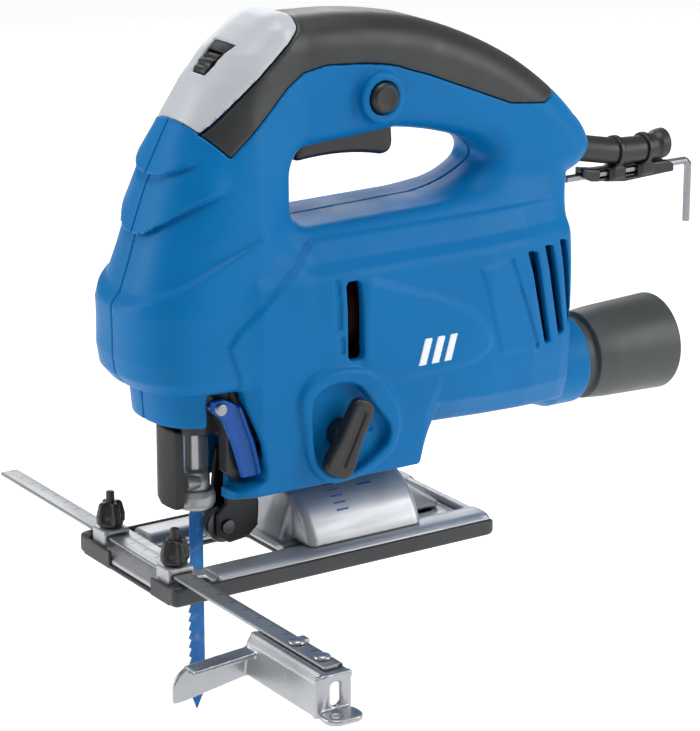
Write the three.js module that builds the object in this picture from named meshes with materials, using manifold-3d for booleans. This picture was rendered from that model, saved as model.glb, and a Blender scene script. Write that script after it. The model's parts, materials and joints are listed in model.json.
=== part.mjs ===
// A pendulum jigsaw in its separate pieces, in millimetres.
// +Z is up, +X runs from the nose to the rear, -Y is the tool's left side.
// The origin is on the underside of the shoe, in the blade plane, halfway along the shoe.
import * as THREE from 'three';
import Module from 'manifold-3d';
import { mergeVertices } from 'three/addons/utils/BufferGeometryUtils.js';

const wasm = await Module();
wasm.setup();

// ---- shared sizes ----
const GAP = 0.3;
const HALF_GAP = GAP / 2;

// shoe
const SHOE_FRONT = -80;
const SHOE_REAR = 82;
const SHOE_HALF = 40;
const SHOE_CORNER = 6;
const SHOE_FLOOR = 2.1;
const SHOE_WALL = 2.6;
const SHOE_TOP = 7;
const CAP_REAR = -61;
const CAP_IN = 34;
const CAP_TOP = 9;
const LIP_REAR = -78.4;
const LIP_TOP = 8;
const NEAR_LIP_IN = 21;
const FAR_LIP_IN = 14;
const PLATE_Z = SHOE_FLOOR + GAP;
const PLATE_HALF = SHOE_HALF - SHOE_WALL - GAP;
const PLATE_FLOOR = 4.6;
const RAIL_TOP = 8.2;
const RAIL_IN = 19.5;
const SLOT_FRONT = -60;
const SLOT_REAR = -12;
const SLOT_HALF = 17;

// bevel bracket
const BRACKET_FRONT = -8;
const BRACKET_REAR = 49;
const BRACKET_R = 31.5;
const BRACKET_WALL = 2.4;
const WEB_FRONT = -15;
const WEB_REAR = 72;
const WEB_TOP = 27;
const GUSSET_TOP = 23;
const BASE_HALF = 18.4;
const BASE_THICK = 2.6;
const CLAMP_SCREW_X = 18;

// side guide
const BAR_X = -71.5;
const BAR_WIDTH = 8.5;
const BAR_Z = 9.6;
const BAR_THICK = 1.6;
const BAR_FAR = 121.5;
const BAR_NEAR = -146;
const THUMB_Y = 27;
const BRIDGE_WIDTH = 11;
const BRIDGE_LEG = 1.7;
const BRIDGE_TOP = 13.8;
const RIVET_Y = [-120, -138];
const RIVET_R = 2;

// housing
const HEEL_Z = 34.5;
const BELLY_Z = 50;
const TRUNK_FRONT = -43;
const TRUNK_REAR = 131;
const TRUNK_TOP = 146;
const NOSE_BACK = -7;
const SKIRT_Z = 68;
const WALL = 3;
const HANDLE_HALF = 19;
const HANDLE_BEVEL = 8;
const SKIN = 3;

// drive
const MOTOR_Z = 105.4;
const GEAR_Z = 82;
const GEAR_TEETH = 24;
const PINION_TEETH = 6;
const CRANK_R = 9;
const PLUNGER_X = -46;
const YOKE_Z = GEAR_Z - CRANK_R;
const SHAFT_R = 2.6;

// dust tube
const TUBE_Z = 59;
const COLLAR_R = 20.2;
const COLLAR_FRONT = 126.2;
const COLLAR_REAR = 146.5;
const PORT_R = 16.4;
const TUBE_FRONT = COLLAR_REAR + GAP;
const TUBE_REAR = 196.5;

// ---- manifold helpers ----
function toManifold(geometry) {
  const bare = geometry.clone();
  bare.deleteAttribute('normal');
  bare.deleteAttribute('uv');
  const merged = mergeVertices(bare, 1e-4);
  const mesh = new wasm.Mesh({
    numProp: 3,
    vertProperties: new Float32Array(merged.attributes.position.array),
    triVerts: new Uint32Array(merged.index.array),
  });
  return new wasm.Manifold(mesh);
}

function toGeometry(manifold) {
  const mesh = manifold.getMesh();
  const geometry = new THREE.BufferGeometry();
  const step = mesh.numProp;
  const count = mesh.vertProperties.length / step;
  const position = new Float32Array(count * 3);
  for (let i = 0; i < count; i += 1) {
    position[i * 3] = mesh.vertProperties[i * step];
    position[i * 3 + 1] = mesh.vertProperties[i * step + 1];
    position[i * 3 + 2] = mesh.vertProperties[i * step + 2];
  }
  geometry.setAttribute('position', new THREE.BufferAttribute(position, 3));
  geometry.setIndex(new THREE.BufferAttribute(new Uint32Array(mesh.triVerts), 1));
  geometry.computeVertexNormals();
  return geometry;
}

function join(first, ...rest) {
  return rest.reduce((sum, piece) => sum.add(piece), first);
}

function cut(first, ...rest) {
  return rest.reduce((sum, piece) => sum.subtract(piece), first);
}

// ---- shape helpers; every one returns a manifold ----
function box(x0, x1, y0, y1, z0, z1) {
  const g = new THREE.BoxGeometry(x1 - x0, y1 - y0, z1 - z0);
  g.translate((x0 + x1) / 2, (y0 + y1) / 2, (z0 + z1) / 2);
  return toManifold(g);
}

function outline(points) {
  const shape = new THREE.Shape();
  points.forEach(([a, b], i) => {
    if (i === 0) shape.moveTo(a, b);
    else shape.lineTo(a, b);
  });
  shape.closePath();
  return shape;
}

const TURN_XZ = new THREE.Matrix4().makeBasis(
  new THREE.Vector3(1, 0, 0),
  new THREE.Vector3(0, 0, 1),
  new THREE.Vector3(0, -1, 0),
);
const TURN_YZ = new THREE.Matrix4().makeBasis(
  new THREE.Vector3(0, 1, 0),
  new THREE.Vector3(0, 0, 1),
  new THREE.Vector3(1, 0, 0),
);

// points of a path without repeats, so no sliver faces are made
function distinct(points) {
  const kept = points.filter((p, i) => i === 0 || p.distanceTo(points[i - 1]) > 1e-3);
  while (kept.length > 1 && kept[0].distanceTo(kept[kept.length - 1]) < 1e-3) kept.pop();
  return kept;
}

function extrude(shape, depth, options = {}) {
  const settings = { depth, bevelEnabled: false, curveSegments: 3, ...options };
  const clean = new THREE.Shape(distinct(shape.getPoints(settings.curveSegments)));
  clean.holes = shape.holes.map((hole) => new THREE.Path(distinct(hole.getPoints(settings.curveSegments))));
  return new THREE.ExtrudeGeometry(clean, settings);
}

// outline in X and Z, pushed along Y from y0 to y1
function prismXZ(shape, y0, y1) {
  const g = extrude(shape, y1 - y0);
  g.applyMatrix4(TURN_XZ);
  g.translate(0, y1, 0);
  return toManifold(g);
}

// outline in Y and Z, pushed along X from x0 to x1
function prismYZ(shape, x0, x1) {
  const g = extrude(shape, x1 - x0);
  g.applyMatrix4(TURN_YZ);
  g.translate(x0, 0, 0);
  return toManifold(g);
}

// outline in X and Y, pushed along Z from z0 to z1
function prismXY(shape, z0, z1) {
  const g = extrude(shape, z1 - z0);
  g.translate(0, 0, z0);
  return toManifold(g);
}

// turned piece: profile pairs are [radius, distance along the axis]
function turned(profile, axis, x, y, z, segments = 24) {
  const pts = profile.map(([r, h]) => new THREE.Vector2(r, h));
  const g = new THREE.LatheGeometry(pts, segments);
  if (axis === 'x') g.rotateZ(-Math.PI / 2);
  if (axis === 'z') g.rotateX(Math.PI / 2);
  g.translate(x, y, z);
  let m = toManifold(g);
  if (m.volume() < 0) {
    g.index.array.reverse();
    m = toManifold(g);
  }
  return m;
}

// solid round bar from a to b along one axis
function rod(axis, r, a, b, x, y, z, segments = 16) {
  return turned([[0, a], [r, a], [r, b], [0, b]], axis, x, y, z, segments);
}

// round tube from a to b along one axis
function ring(axis, rOut, rIn, a, b, x, y, z, segments = 20) {
  const profile = [[rIn, a], [rOut, a], [rOut, b], [rIn, b], [rIn, a]];
  return turned(profile, axis, x, y, z, segments);
}

function roundedRect(x0, x1, y0, y1, r) {
  const s = new THREE.Shape();
  s.moveTo(x0 + r, y0);
  s.lineTo(x1 - r, y0);
  s.absarc(x1 - r, y0 + r, r, -Math.PI / 2, 0);
  s.lineTo(x1, y1 - r);
  s.absarc(x1 - r, y1 - r, r, 0, Math.PI / 2);
  s.lineTo(x0 + r, y1);
  s.absarc(x0 + r, y1 - r, r, Math.PI / 2, Math.PI);
  s.lineTo(x0, y0 + r);
  s.absarc(x0 + r, y0 + r, r, Math.PI, Math.PI * 1.5);
  return s;
}

// closed skin through a list of convex rings with equal point counts
function loft(rings) {
  const n = rings[0].length;
  const pos = rings.flat().flatMap((p) => [p.x, p.y, p.z]);
  const index = [];
  for (let r = 0; r < rings.length - 1; r += 1) {
    for (let i = 0; i < n; i += 1) {
      const a = r * n + i;
      const b = r * n + ((i + 1) % n);
      index.push(a, b, b + n, a, b + n, a + n);
    }
  }
  const last = (rings.length - 1) * n;
  for (let i = 1; i < n - 1; i += 1) {
    index.push(0, i + 1, i);
    index.push(last, last + i, last + i + 1);
  }
  const g = new THREE.BufferGeometry();
  g.setAttribute('position', new THREE.Float32BufferAttribute(pos, 3));
  g.setIndex(index);
  const m = toManifold(g);
  if (m.volume() >= 0) return m;
  g.setIndex(index.reverse());
  return toManifold(g);
}

const group = new THREE.Group();
group.name = 'jigsaw';

function put(name, piece, color, roughness, metalness) {
  const geometry = piece.isBufferGeometry ? piece : toGeometry(piece);
  const material = new THREE.MeshStandardMaterial({ color, roughness, metalness });
  const mesh = new THREE.Mesh(geometry, material);
  mesh.name = name;
  group.add(mesh);
}

const BLUE = 0x2478b8;
const GREY = 0xcdd0d4;
const BLACK = 0x222426;
const GRIP = 0x3c4144;
const STEEL = 0xb9bcc0;
const CHROME = 0xd4d6d9;
const ALLOY = 0x9a9da1;
const COPPER = 0xb56a3a;
const BLADE_BLUE = 0x2e74b5;
const LEVER_BLUE = 0x3a5fc0;
const SHOE_GREY = 0x4a4c4e;

// ---- shoe and its hardware ----
function shoeSlot(z0, z1, slack) {
  const shape = roundedRect(SLOT_FRONT - slack, SLOT_REAR + slack, -SLOT_HALF - slack, SLOT_HALF + slack, 4);
  return prismXY(shape, z0, z1);
}

function shoeCover() {
  const plan = roundedRect(SHOE_FRONT, SHOE_REAR, -SHOE_HALF, SHOE_HALF, SHOE_CORNER);
  const inside = SHOE_HALF - SHOE_WALL;
  const body = prismXY(plan, 0, SHOE_TOP);
  const tray = box(SHOE_FRONT - 1, SHOE_REAR + 1, -inside, inside, SHOE_FLOOR, SHOE_TOP + 1);
  const capPlan = roundedRect(SHOE_FRONT, CAP_REAR, CAP_IN, SHOE_HALF + 0.8, 3);
  const cap = prismXY(capPlan, 0, CAP_TOP);
  const other = cap.mirror([0, 1, 0]);
  const nearLip = box(SHOE_FRONT, LIP_REAR, -CAP_IN - 1, -NEAR_LIP_IN, 0, LIP_TOP);
  const farLip = box(SHOE_FRONT, LIP_REAR, FAR_LIP_IN, CAP_IN + 1, 0, LIP_TOP);
  const screwHole = rod('z', 6.4, -1, SHOE_FLOOR + 1, CLAMP_SCREW_X, 0, 0);
  const full = join(cut(body, tray), cap, other, nearLip, farLip);
  return cut(full, shoeSlot(-1, SHOE_FLOOR + 1, 0), screwHole);
}

function railProfile() {
  const low = RAIL_TOP - 2.4;
  const half = [
    [PLATE_HALF, PLATE_Z],
    [PLATE_HALF, low],
    [PLATE_HALF - 2.4, RAIL_TOP],
    [RAIL_IN + 3, RAIL_TOP],
    [RAIL_IN, low],
    [RAIL_IN, PLATE_FLOOR],
  ];
  const other = half.map(([y, z]) => [-y, z]).reverse();
  return outline([...half, ...other]);
}

function barBridge(y) {
  const front = BAR_X - BAR_WIDTH / 2 - GAP;
  const rear = BAR_X + BAR_WIDTH / 2 + GAP;
  const roof = BAR_Z + BAR_THICK + GAP;
  const half = BRIDGE_WIDTH / 2;
  const block = box(front - BRIDGE_LEG, rear + BRIDGE_LEG, y - half, y + half, PLATE_Z + 1, BRIDGE_TOP);
  const way = box(front, rear, y - half - 1, y + half + 1, BAR_Z - GAP, roof);
  const hole = rod('z', 2.8, roof - 1, BRIDGE_TOP + 1, BAR_X, y, 0, 16);
  return cut(block, way, hole);
}

function solePlate() {
  const rails = prismYZ(railProfile(), -56, SHOE_REAR - 1);
  const ramp = outline([
    [-79, PLATE_Z],
    [-79, PLATE_Z + 1.6],
    [-72, BAR_Z - GAP],
    [-61, BAR_Z - GAP],
    [-55, PLATE_FLOOR],
    [-55, PLATE_Z],
  ]);
  const whole = prismXZ(ramp, -CAP_IN + GAP, CAP_IN - GAP);
  const lipRoom = join(
    box(SHOE_FRONT - 1, LIP_REAR + GAP, -50, -NEAR_LIP_IN + GAP, 0, 20),
    box(SHOE_FRONT - 1, LIP_REAR + GAP, FAR_LIP_IN - GAP, 50, 0, 20),
  );
  const front = cut(whole, lipRoom);
  const rearBead = rod('y', 2.6, -PLATE_HALF + 2, PLATE_HALF - 2, SHOE_REAR - 4, 0, PLATE_FLOOR + 0.8, 12);
  const farBridge = barBridge(THUMB_Y);
  const nearBridge = barBridge(-THUMB_Y);
  const body = join(rails, front, rearBead, farBridge, nearBridge);
  const holes = rod('z', 3.4, 0, 12, CLAMP_SCREW_X, 0, 0);
  const sight = prismXY(roundedRect(54, 70, -10, 10, 5), 0, 12);
  return cut(body, shoeSlot(0, 20, -0.6), holes, sight);
}

function bevelBracket() {
  const foot = PLATE_FLOOR + GAP;
  const full = rod('x', BRACKET_R, BRACKET_FRONT, BRACKET_REAR, 0, 0, 0, 32);
  const bore = rod('x', BRACKET_R - BRACKET_WALL, BRACKET_FRONT + 2.4, BRACKET_REAR - 2.4, 0, 0, 0, 32);
  const above = box(BRACKET_FRONT - 1, BRACKET_REAR + 1, -50, 50, RAIL_TOP + GAP, 50);
  const arch = cut(full, bore).intersect(above);
  const webShape = outline([
    [WEB_FRONT, foot],
    [WEB_FRONT + 1.5, foot + 3],
    [BRACKET_FRONT + 1, WEB_TOP],
    [BRACKET_FRONT + 3, WEB_TOP],
    [BRACKET_FRONT + 3, foot],
  ]);
  const frontWeb = prismXZ(webShape, -14, 14);
  const rearShape = outline([
    [BRACKET_REAR - 3, foot],
    [BRACKET_REAR - 3, GUSSET_TOP],
    [BRACKET_REAR + 2, GUSSET_TOP],
    [WEB_REAR, foot + 3],
    [WEB_REAR, foot],
  ]);
  const rearWeb = prismXZ(rearShape, -9, 9);
  const base = box(WEB_FRONT + 1, BRACKET_REAR + 3, -BASE_HALF, BASE_HALF, foot, foot + BASE_THICK);
  const boss = rod('z', 7.5, foot, foot + 7, CLAMP_SCREW_X, 0, 0, 16);
  const thread = rod('z', 3.4, 0, 20, CLAMP_SCREW_X, 0, 0, 12);
  return cut(join(arch, frontWeb, rearWeb, base, boss), thread);
}

function clampScrew() {
  const head = rod('z', 5.6, 0.5, PLATE_Z - GAP, CLAMP_SCREW_X, 0, 0, 20);
  const hex = rod('z', 2.4, 0, PLATE_Z - 1.2, CLAMP_SCREW_X, 0, 0, 6);
  const stem = rod('z', 3, PLATE_Z - GAP - 0.1, 14, CLAMP_SCREW_X, 0, 0, 16);
  return join(cut(head, hex), stem);
}

// ---- side guide ----
function fenceBar() {
  const half = BAR_WIDTH / 2;
  const bar = box(BAR_X - half, BAR_X + half, BAR_NEAR, BAR_FAR, BAR_Z, BAR_Z + BAR_THICK);
  const holes = RIVET_Y.map((y) => rod('z', RIVET_R + GAP, 0, 20, BAR_X, y, 0, 12));
  return cut(bar, ...holes);
}

const GUIDE_FRONT = -114;
const GUIDE_FAR = -97;
const GUIDE_NEAR = -150;
const GUIDE_TIP = -161;
const GUIDE_LOW = -7;
const GUIDE_WALL = 2;
const DECK_FRONT = -78;
const DECK_REAR = -66;
const DECK_TOP = BAR_Z - GAP;

// upright wall along X that runs against the edge of the work, with a folded top lip
function guideWing() {
  const root = DECK_FRONT;
  const rise = new THREE.Shape();
  rise.moveTo(root, 4);
  rise.lineTo(GUIDE_FRONT + 6, 2);
  rise.absarc(GUIDE_FRONT + 7, -6, 7, Math.PI * 0.55, Math.PI);
  rise.lineTo(GUIDE_FRONT, -12);
  rise.lineTo(GUIDE_FRONT + 4, -12);
  rise.lineTo(root, GUIDE_LOW);
  const wall = prismXZ(rise, GUIDE_FAR - GUIDE_WALL, GUIDE_FAR);
  const fold = outline([[root, 4], [root, 2.4], [GUIDE_FRONT + 6, 0.4], [GUIDE_FRONT + 6, 2]]);
  return join(wall, prismXZ(fold, GUIDE_FAR - 8, GUIDE_FAR));
}

function fencePlate() {
  const lowFront = DECK_FRONT - 4;
  const deck = box(DECK_FRONT, DECK_REAR, GUIDE_NEAR, GUIDE_FAR, DECK_TOP - GUIDE_WALL, DECK_TOP);
  const tab = box(DECK_REAR - 1, DECK_REAR + 4, -115, -110, DECK_TOP - GUIDE_WALL, DECK_TOP);
  const skirtShape = outline([
    [DECK_FRONT, DECK_TOP],
    [DECK_FRONT + GUIDE_WALL, DECK_TOP],
    [lowFront + GUIDE_WALL, GUIDE_LOW],
    [lowFront, GUIDE_LOW],
    [lowFront + 1.5, DECK_TOP - 3.5],
  ]);
  const skirt = prismXZ(skirtShape, GUIDE_NEAR, GUIDE_FAR);
  const endWall = box(lowFront, DECK_REAR, GUIDE_NEAR, GUIDE_NEAR + GUIDE_WALL, GUIDE_LOW, DECK_TOP);
  const footPlan = roundedRect(lowFront, DECK_REAR, GUIDE_TIP, GUIDE_NEAR + 1, 5);
  const foot = prismXY(footPlan, GUIDE_LOW, GUIDE_LOW + 2.4);
  const hole = rod('z', 1.8, -20, 20, -77, -156, 0, 12);
  const slot = prismXZ(roundedRect(-75.5, -71, -3.5, 6, 2.2), GUIDE_NEAR - 1, GUIDE_NEAR + 3);
  const rivets = RIVET_Y.map((y) => rod('z', RIVET_R + GAP, 0, 20, BAR_X, y, 0, 12));
  return cut(join(deck, tab, skirt, guideWing(), endWall, foot), hole, slot, ...rivets);
}

function fenceRivet(y) {
  const low = DECK_TOP - GUIDE_WALL;
  const high = BAR_Z + BAR_THICK;
  const profile = [
    [0, low - 1.3],
    [3.4, low - 1.3],
    [3.4, low - GAP],
    [RIVET_R, low - GAP],
    [RIVET_R, high + GAP],
    [3.6, high + GAP],
    [2.6, high + 1.6],
    [0, high + 1.8],
  ];
  return turned(profile, 'z', BAR_X, y, 0, 10);
}

function thumbScrew(y) {
  const tip = BAR_Z + BAR_THICK + GAP;
  const profile = [
    [0, tip],
    [2.4, tip],
    [2.4, BRIDGE_TOP + 0.6],
    [5.2, BRIDGE_TOP + 1],
    [5.2, BRIDGE_TOP + 3],
    [3.6, BRIDGE_TOP + 4],
    [3.6, BRIDGE_TOP + 10.5],
    [2, BRIDGE_TOP + 11.5],
    [1.7, BRIDGE_TOP + 15.5],
    [0, BRIDGE_TOP + 16],
  ];
  const core = turned(profile, 'z', BAR_X, y, 0, 12);
  const wing = box(BAR_X - 1.3, BAR_X + 1.3, y - 6.2, y + 6.2, BRIDGE_TOP + 2, BRIDGE_TOP + 11);
  const cross = box(BAR_X - 6.2, BAR_X + 6.2, y - 1.3, y + 1.3, BRIDGE_TOP + 2, BRIDGE_TOP + 11);
  return join(core, wing, cross);
}

// ---- housing skin ----
// nose rings: [height, front, half width]
const NOSE_RINGS = [
  [SKIRT_Z, -69.5, 28],
  [82, -70.5, 29],
  [86.5, -82, 33],
  [98, -83.2, 35],
  [118, -82.2, 34.5],
  [140, -75.5, 31.5],
  [141.5, -73.5, 30.5],
  [150, -72.6, 30],
  [171, -67.5, 27.5],
  [172.5, -65.2, 26.5],
  [192, -55.5, 24],
  [206, -46, 22.5],
  [218, -34, 20.5],
  [227, -20, 17],
  [232.5, -10, 10],
];

// the rings that the inside of the nose follows
const INNER_RINGS = [0, 1, 3, 4, 6, 8, 10, 12];

function noseRing([z, front, half], inset) {
  const pts = [];
  const steps = 6;
  const w = half - inset;
  const reach = Math.min(34, (NOSE_BACK - front) * 0.86);
  const f = front + inset;
  for (let i = -steps; i <= steps; i += 1) {
    const a = (i / steps) * (Math.PI / 2);
    const y = w * Math.sign(a) * Math.abs(Math.sin(a)) ** 0.8;
    const x = f + reach * (1 - Math.cos(a) ** 0.75);
    pts.push(new THREE.Vector3(x, y, z));
  }
  pts.push(new THREE.Vector3(NOSE_BACK + inset, w, z));
  pts.push(new THREE.Vector3(NOSE_BACK + inset, -w, z));
  return pts;
}

function noseSolid(inset) {
  const rings = NOSE_RINGS.map((row) => noseRing(row, inset));
  if (inset === 0) return loft(rings);
  const top = NOSE_RINGS[NOSE_RINGS.length - 2];
  const inner = INNER_RINGS.map((i) => rings[i]);
  inner.push(noseRing([top[0] - inset * 0.4, top[1] + inset * 0.6, top[2] - 2], inset));
  return loft(inner);
}

// trunk sections: [x, underside, half width]
const TRUNK_SECTIONS = [
  [TRUNK_FRONT, HEEL_Z, 31],
  [-34, HEEL_Z, 35],
  [0, HEEL_Z, 36.5],
  [46, HEEL_Z, 36.5],
  [54, BELLY_Z, 36.5],
  [80, BELLY_Z - 1, 36],
  [104, BELLY_Z - 2.5, 33.5],
  [122, BELLY_Z - 3.5, 29.5],
  [TRUNK_REAR, BELLY_Z - 3.5, 26],
];

function trunkSection([x, low, half], inset, front, rear) {
  const w = half - inset;
  const z0 = low + inset;
  const z1 = TRUNK_TOP - inset;
  const heel = (BELLY_Z - low) / (BELLY_Z - HEEL_Z);
  const footHalf = w * (0.62 + 0.18 * Math.max(0, heel));
  const side = [
    [footHalf, z0],
    [footHalf + 3.4, z0 + 2],
    [w * 0.96, z0 + 13],
    [w, z0 + 26],
    [w, 112],
    [w * 0.95, 128],
    [w * 0.84, z1 - 6],
    [w * 0.66, z1],
  ];
  const other = side.map(([y, z]) => [-y, z]).reverse();
  const at = Math.min(Math.max(x, front), rear);
  return [...side, ...other].map(([y, z]) => new THREE.Vector3(at, y, z));
}

function trunkSolid(inset) {
  const front = TRUNK_FRONT + inset;
  const rear = TRUNK_REAR - inset;
  return loft(TRUNK_SECTIONS.map((row) => trunkSection(row, inset, front, rear)));
}

function handleOutline() {
  const s = new THREE.Shape();
  s.moveTo(-32, 124);
  s.lineTo(124, 118);
  s.lineTo(132, 136);
  s.lineTo(136, 146.5);
  s.quadraticCurveTo(148, 150, 149.3, 160);
  s.quadraticCurveTo(147, 168, 141, 173.5);
  s.quadraticCurveTo(129, 188, 108, 201.5);
  s.quadraticCurveTo(84, 216, 56, 224);
  s.quadraticCurveTo(32, 229.5, 8, 229.5);
  s.quadraticCurveTo(-4, 230.2, -14, 228);
  s.lineTo(-32, 213);
  const hole = new THREE.Path();
  hole.moveTo(-1, 146);
  hole.quadraticCurveTo(-6.5, 146.5, -6.5, 153);
  hole.lineTo(-6.5, 167);
  hole.quadraticCurveTo(-6, 175, 1, 178);
  hole.lineTo(46, 180.5);
  hole.quadraticCurveTo(66, 176.5, 84, 168.5);
  hole.quadraticCurveTo(96, 161, 87, 156.5);
  hole.quadraticCurveTo(76, 150, 61, 148);
  s.holes.push(hole);
  return s;
}

function handleSolid(inset) {
  const bevel = HANDLE_BEVEL - inset;
  const half = HANDLE_HALF - inset;
  const g = extrude(handleOutline(), 2 * (half - bevel), {
    bevelEnabled: true,
    bevelThickness: bevel,
    bevelSize: bevel,
    bevelOffset: -bevel - inset,
    bevelSegments: inset > 0 ? 1 : 2,
    curveSegments: 3,
  });
  g.applyMatrix4(TURN_XZ);
  g.translate(0, half - bevel, 0);
  return toManifold(g);
}

function outerSolid(inset) {
  return join(noseSolid(inset), trunkSolid(inset), handleSolid(inset));
}

const GRIP_ZONE = [
  [-50.5, 187.7], [-4, 225.5], [3, 245], [150, 245], [150, 203], [129, 185], [119, 181.5],
  [101, 183.5], [58, 200.7], [17, 211], [7, 210], [-20, 199], [-41, 178.5],
];
const PANEL_ZONE = [[-75, 197], [-56, 193.6], [-50.9, 188.2], [-4.3, 226], [2.5, 245], [-75, 245]];
// grip and panel together, as cut out of the housing
const CAP_ZONE = [
  [-75, 197], [-56, 193.6], [-50.7, 187.7], ...GRIP_ZONE.slice(4).reverse(), [150, 245], [-75, 245],
];

const WHEEL_X = -30;
const WHEEL_Z = 204.5;
const WHEEL_R = 12.5;
const LOCK_X = 33;
const LOCK_Z = 194.5;
const KNOB_X = 4;
const KNOB_Z = 58.5;

// trigger well, button bore and every other opening through the left and right halves
function housingOpenings() {
  const triggerWell = box(-3, 49, -9.8, 9.8, 164, 190);
  const wheelWell = ring('y', WHEEL_R + 1.6, 0, -5.8, 5.8, WHEEL_X, 0, WHEEL_Z, 20);
  const skirtMouth = box(-62, -39.7, -24, 24, 57, 84);
  const armSlot = box(-60, -16, -10.5, 10.5, HEEL_Z - 1, 60);
  const rearPort = rod('x', PORT_R, 120, COLLAR_REAR + 2, 0, 0, TUBE_Z, 24);
  const cordPort = rod('x', 6.2, 120, 160, 0, 0, 155.5, 16);
  return [triggerWell, wheelWell, skirtMouth, armSlot, rearPort, cordPort];
}

function ventCuts(side) {
  const from = side < 0 ? -45 : 12;
  const to = side < 0 ? -12 : 45;
  const front = prismXZ(roundedRect(8.6, 14, 90, 121.5, 2.4), from, to);
  const lean = [[107, 119, 115.5, 78], [114.5, 120, 122, 81], [121.5, 121, 127.6, 85]];
  const rear = lean.map(([xt, zt, xb, zb]) => prismXZ(
    outline([[xt, zt], [xt - 2.2, zt - 6], [xb - 2, zb], [xb + 2.4, zb + 1.5], [xt + 3.4, zt - 4]]),
    from,
    to,
  ));
  return [front, ...rear];
}

function leverRecess() {
  return prismXZ(outline([[-64, 39], [-40, 39], [-30, 44], [-30, 60], [-40, 83], [-64, 83]]), -45, -14.6);
}

const SCREWS = [[-8, 44], [40, 44], [117, 132], [-22, 150], [107, 170]];

function housingHalf(side) {
  const skin = outerSolid(0);
  const caps = prismXZ(outline(CAP_ZONE), -50, 50);
  const core = outerSolid(SKIN + GAP);
  const capZone = prismXZ(outline([[-75, 186], [-49, 180], [-20, 188], [20, 196], [60, 190],
    [105, 170], [140, 170], [140, 245], [-75, 245]]), -50, 50);
  const bare = join(cut(skin, caps), core.intersect(capZone));
  const lowRoom = outerSolid(WALL).intersect(box(-90, 126, -50, 50, 53, 178));
  const handleRoom = prismXZ(outline([
    [-42, 182], [-52, 188], [-36, 206], [-20, 214], [0, 221], [20, 221], [55, 215], [81, 206],
    [104, 191], [124, 174], [132, 163], [126, 136], [104, 136], [100, 166], [88, 176],
    [66, 186], [46, 187], [-4, 186], [-12, 170], [-40, 170],
  ]), -12.5, 12.5);
  const boss = rod('y', 10, -23.5, -15, LOCK_X, 0, LOCK_Z, 24);
  const bezel = rod('y', 23, -38.5, -28, KNOB_X + 4, 0, KNOB_Z + 1, 28);
  const pocket = rod('y', 19.5, -40, -33, KNOB_X + 4, 0, KNOB_Z + 1, 28);
  const bosses = SCREWS.map(([x, z]) => rod('y', 5.6, -60, 60, x, 0, z, 8).intersect(outerSolid(1)));
  const shanks = SCREWS.map(([x, z]) => rod('y', 2, -9, 12, x, 0, z, 10));
  const heads = SCREWS.map(([x, z]) => rod('y', 3.8, 11.2, 60, x, 0, z, 10));
  const collar = rod('x', COLLAR_R, COLLAR_FRONT, COLLAR_REAR, 0, 0, TUBE_Z, 28);
  let body = cut(join(cut(bare, lowRoom, handleRoom), collar, ...bosses), ...shanks, ...heads);
  if (side < 0) {
    body = join(body, boss, bezel.intersect(box(-60, 60, -45, -20, HEEL_Z + 1, 100)));
    body = cut(body, pocket, rod('y', 4.8, -45, -10, KNOB_X, 0, KNOB_Z, 16));
    body = cut(body, rod('y', 7.1, -30, -10, LOCK_X, 0, LOCK_Z, 20), leverRecess());
  }
  body = cut(body, ...housingOpenings(), ...ventCuts(side));
  const keep = side < 0 ? box(-100, 160, -60, -HALF_GAP, 0, 260) : box(-100, 160, HALF_GAP, 60, 0, 260);
  return body.intersect(keep);
}

function softGrip() {
  const zone = prismXZ(outline(GRIP_ZONE.map(([x, z]) => [x, z + GAP])), -50, 50);
  const strip = outerSolid(0).intersect(zone);
  const boss = rod('y', 10.4, -40, -14, LOCK_X, 0, LOCK_Z, 24);
  const rest = outerSolid(0).intersect(prismXZ(outline(PANEL_ZONE), -50, 50));
  return cut(strip, outerSolid(SKIN), outerSolid(SKIN + GAP), boss, rest);
}

function topPanel() {
  const zone = prismXZ(outline(PANEL_ZONE.map(([x, z]) => [x, z + GAP])), -50, 50);
  const sheet = cut(outerSolid(0).intersect(zone), outerSolid(SKIN), outerSolid(SKIN + GAP));
  const window = box(WHEEL_X - 30, WHEEL_X + 30, -5.8, 5.8, WHEEL_Z - 30, WHEEL_Z + 30)
    .intersect(rod('y', WHEEL_R + 1.6, -6, 6, WHEEL_X, 0, WHEEL_Z, 24));
  return cut(sheet, window);
}

// ---- controls ----
function speedWheel() {
  const teeth = 18;
  const shape = new THREE.Shape();
  for (let i = 0; i < teeth; i += 1) {
    const a = (i / teeth) * Math.PI * 2;
    const pitch = (Math.PI * 2) / teeth;
    const point = (r, t) => [r * Math.cos(t), r * Math.sin(t)];
    if (i === 0) shape.moveTo(...point(WHEEL_R - 0.8, a));
    else shape.lineTo(...point(WHEEL_R - 0.8, a));
    shape.lineTo(...point(WHEEL_R, a + pitch * 0.25));
    shape.lineTo(...point(WHEEL_R, a + pitch * 0.65));
    shape.lineTo(...point(WHEEL_R - 0.8, a + pitch * 0.9));
  }
  const g = extrude(shape, 9.4);
  g.applyMatrix4(TURN_XZ);
  g.translate(WHEEL_X, 4.7, WHEEL_Z);
  const stub = rod('y', 3, -7.5, 7.5, WHEEL_X, 0, WHEEL_Z, 12);
  return join(toManifold(g), stub);
}

function trigger() {
  const s = new THREE.Shape();
  s.moveTo(0, 186);
  s.lineTo(-1, 172);
  s.quadraticCurveTo(-1, 168.6, 2, 168.8);
  s.quadraticCurveTo(24, 171, 42, 166.6);
  s.quadraticCurveTo(47.5, 166.4, 47.8, 172);
  s.lineTo(47, 186);
  return prismXZ(s, -9.2, 9.2);
}

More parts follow.
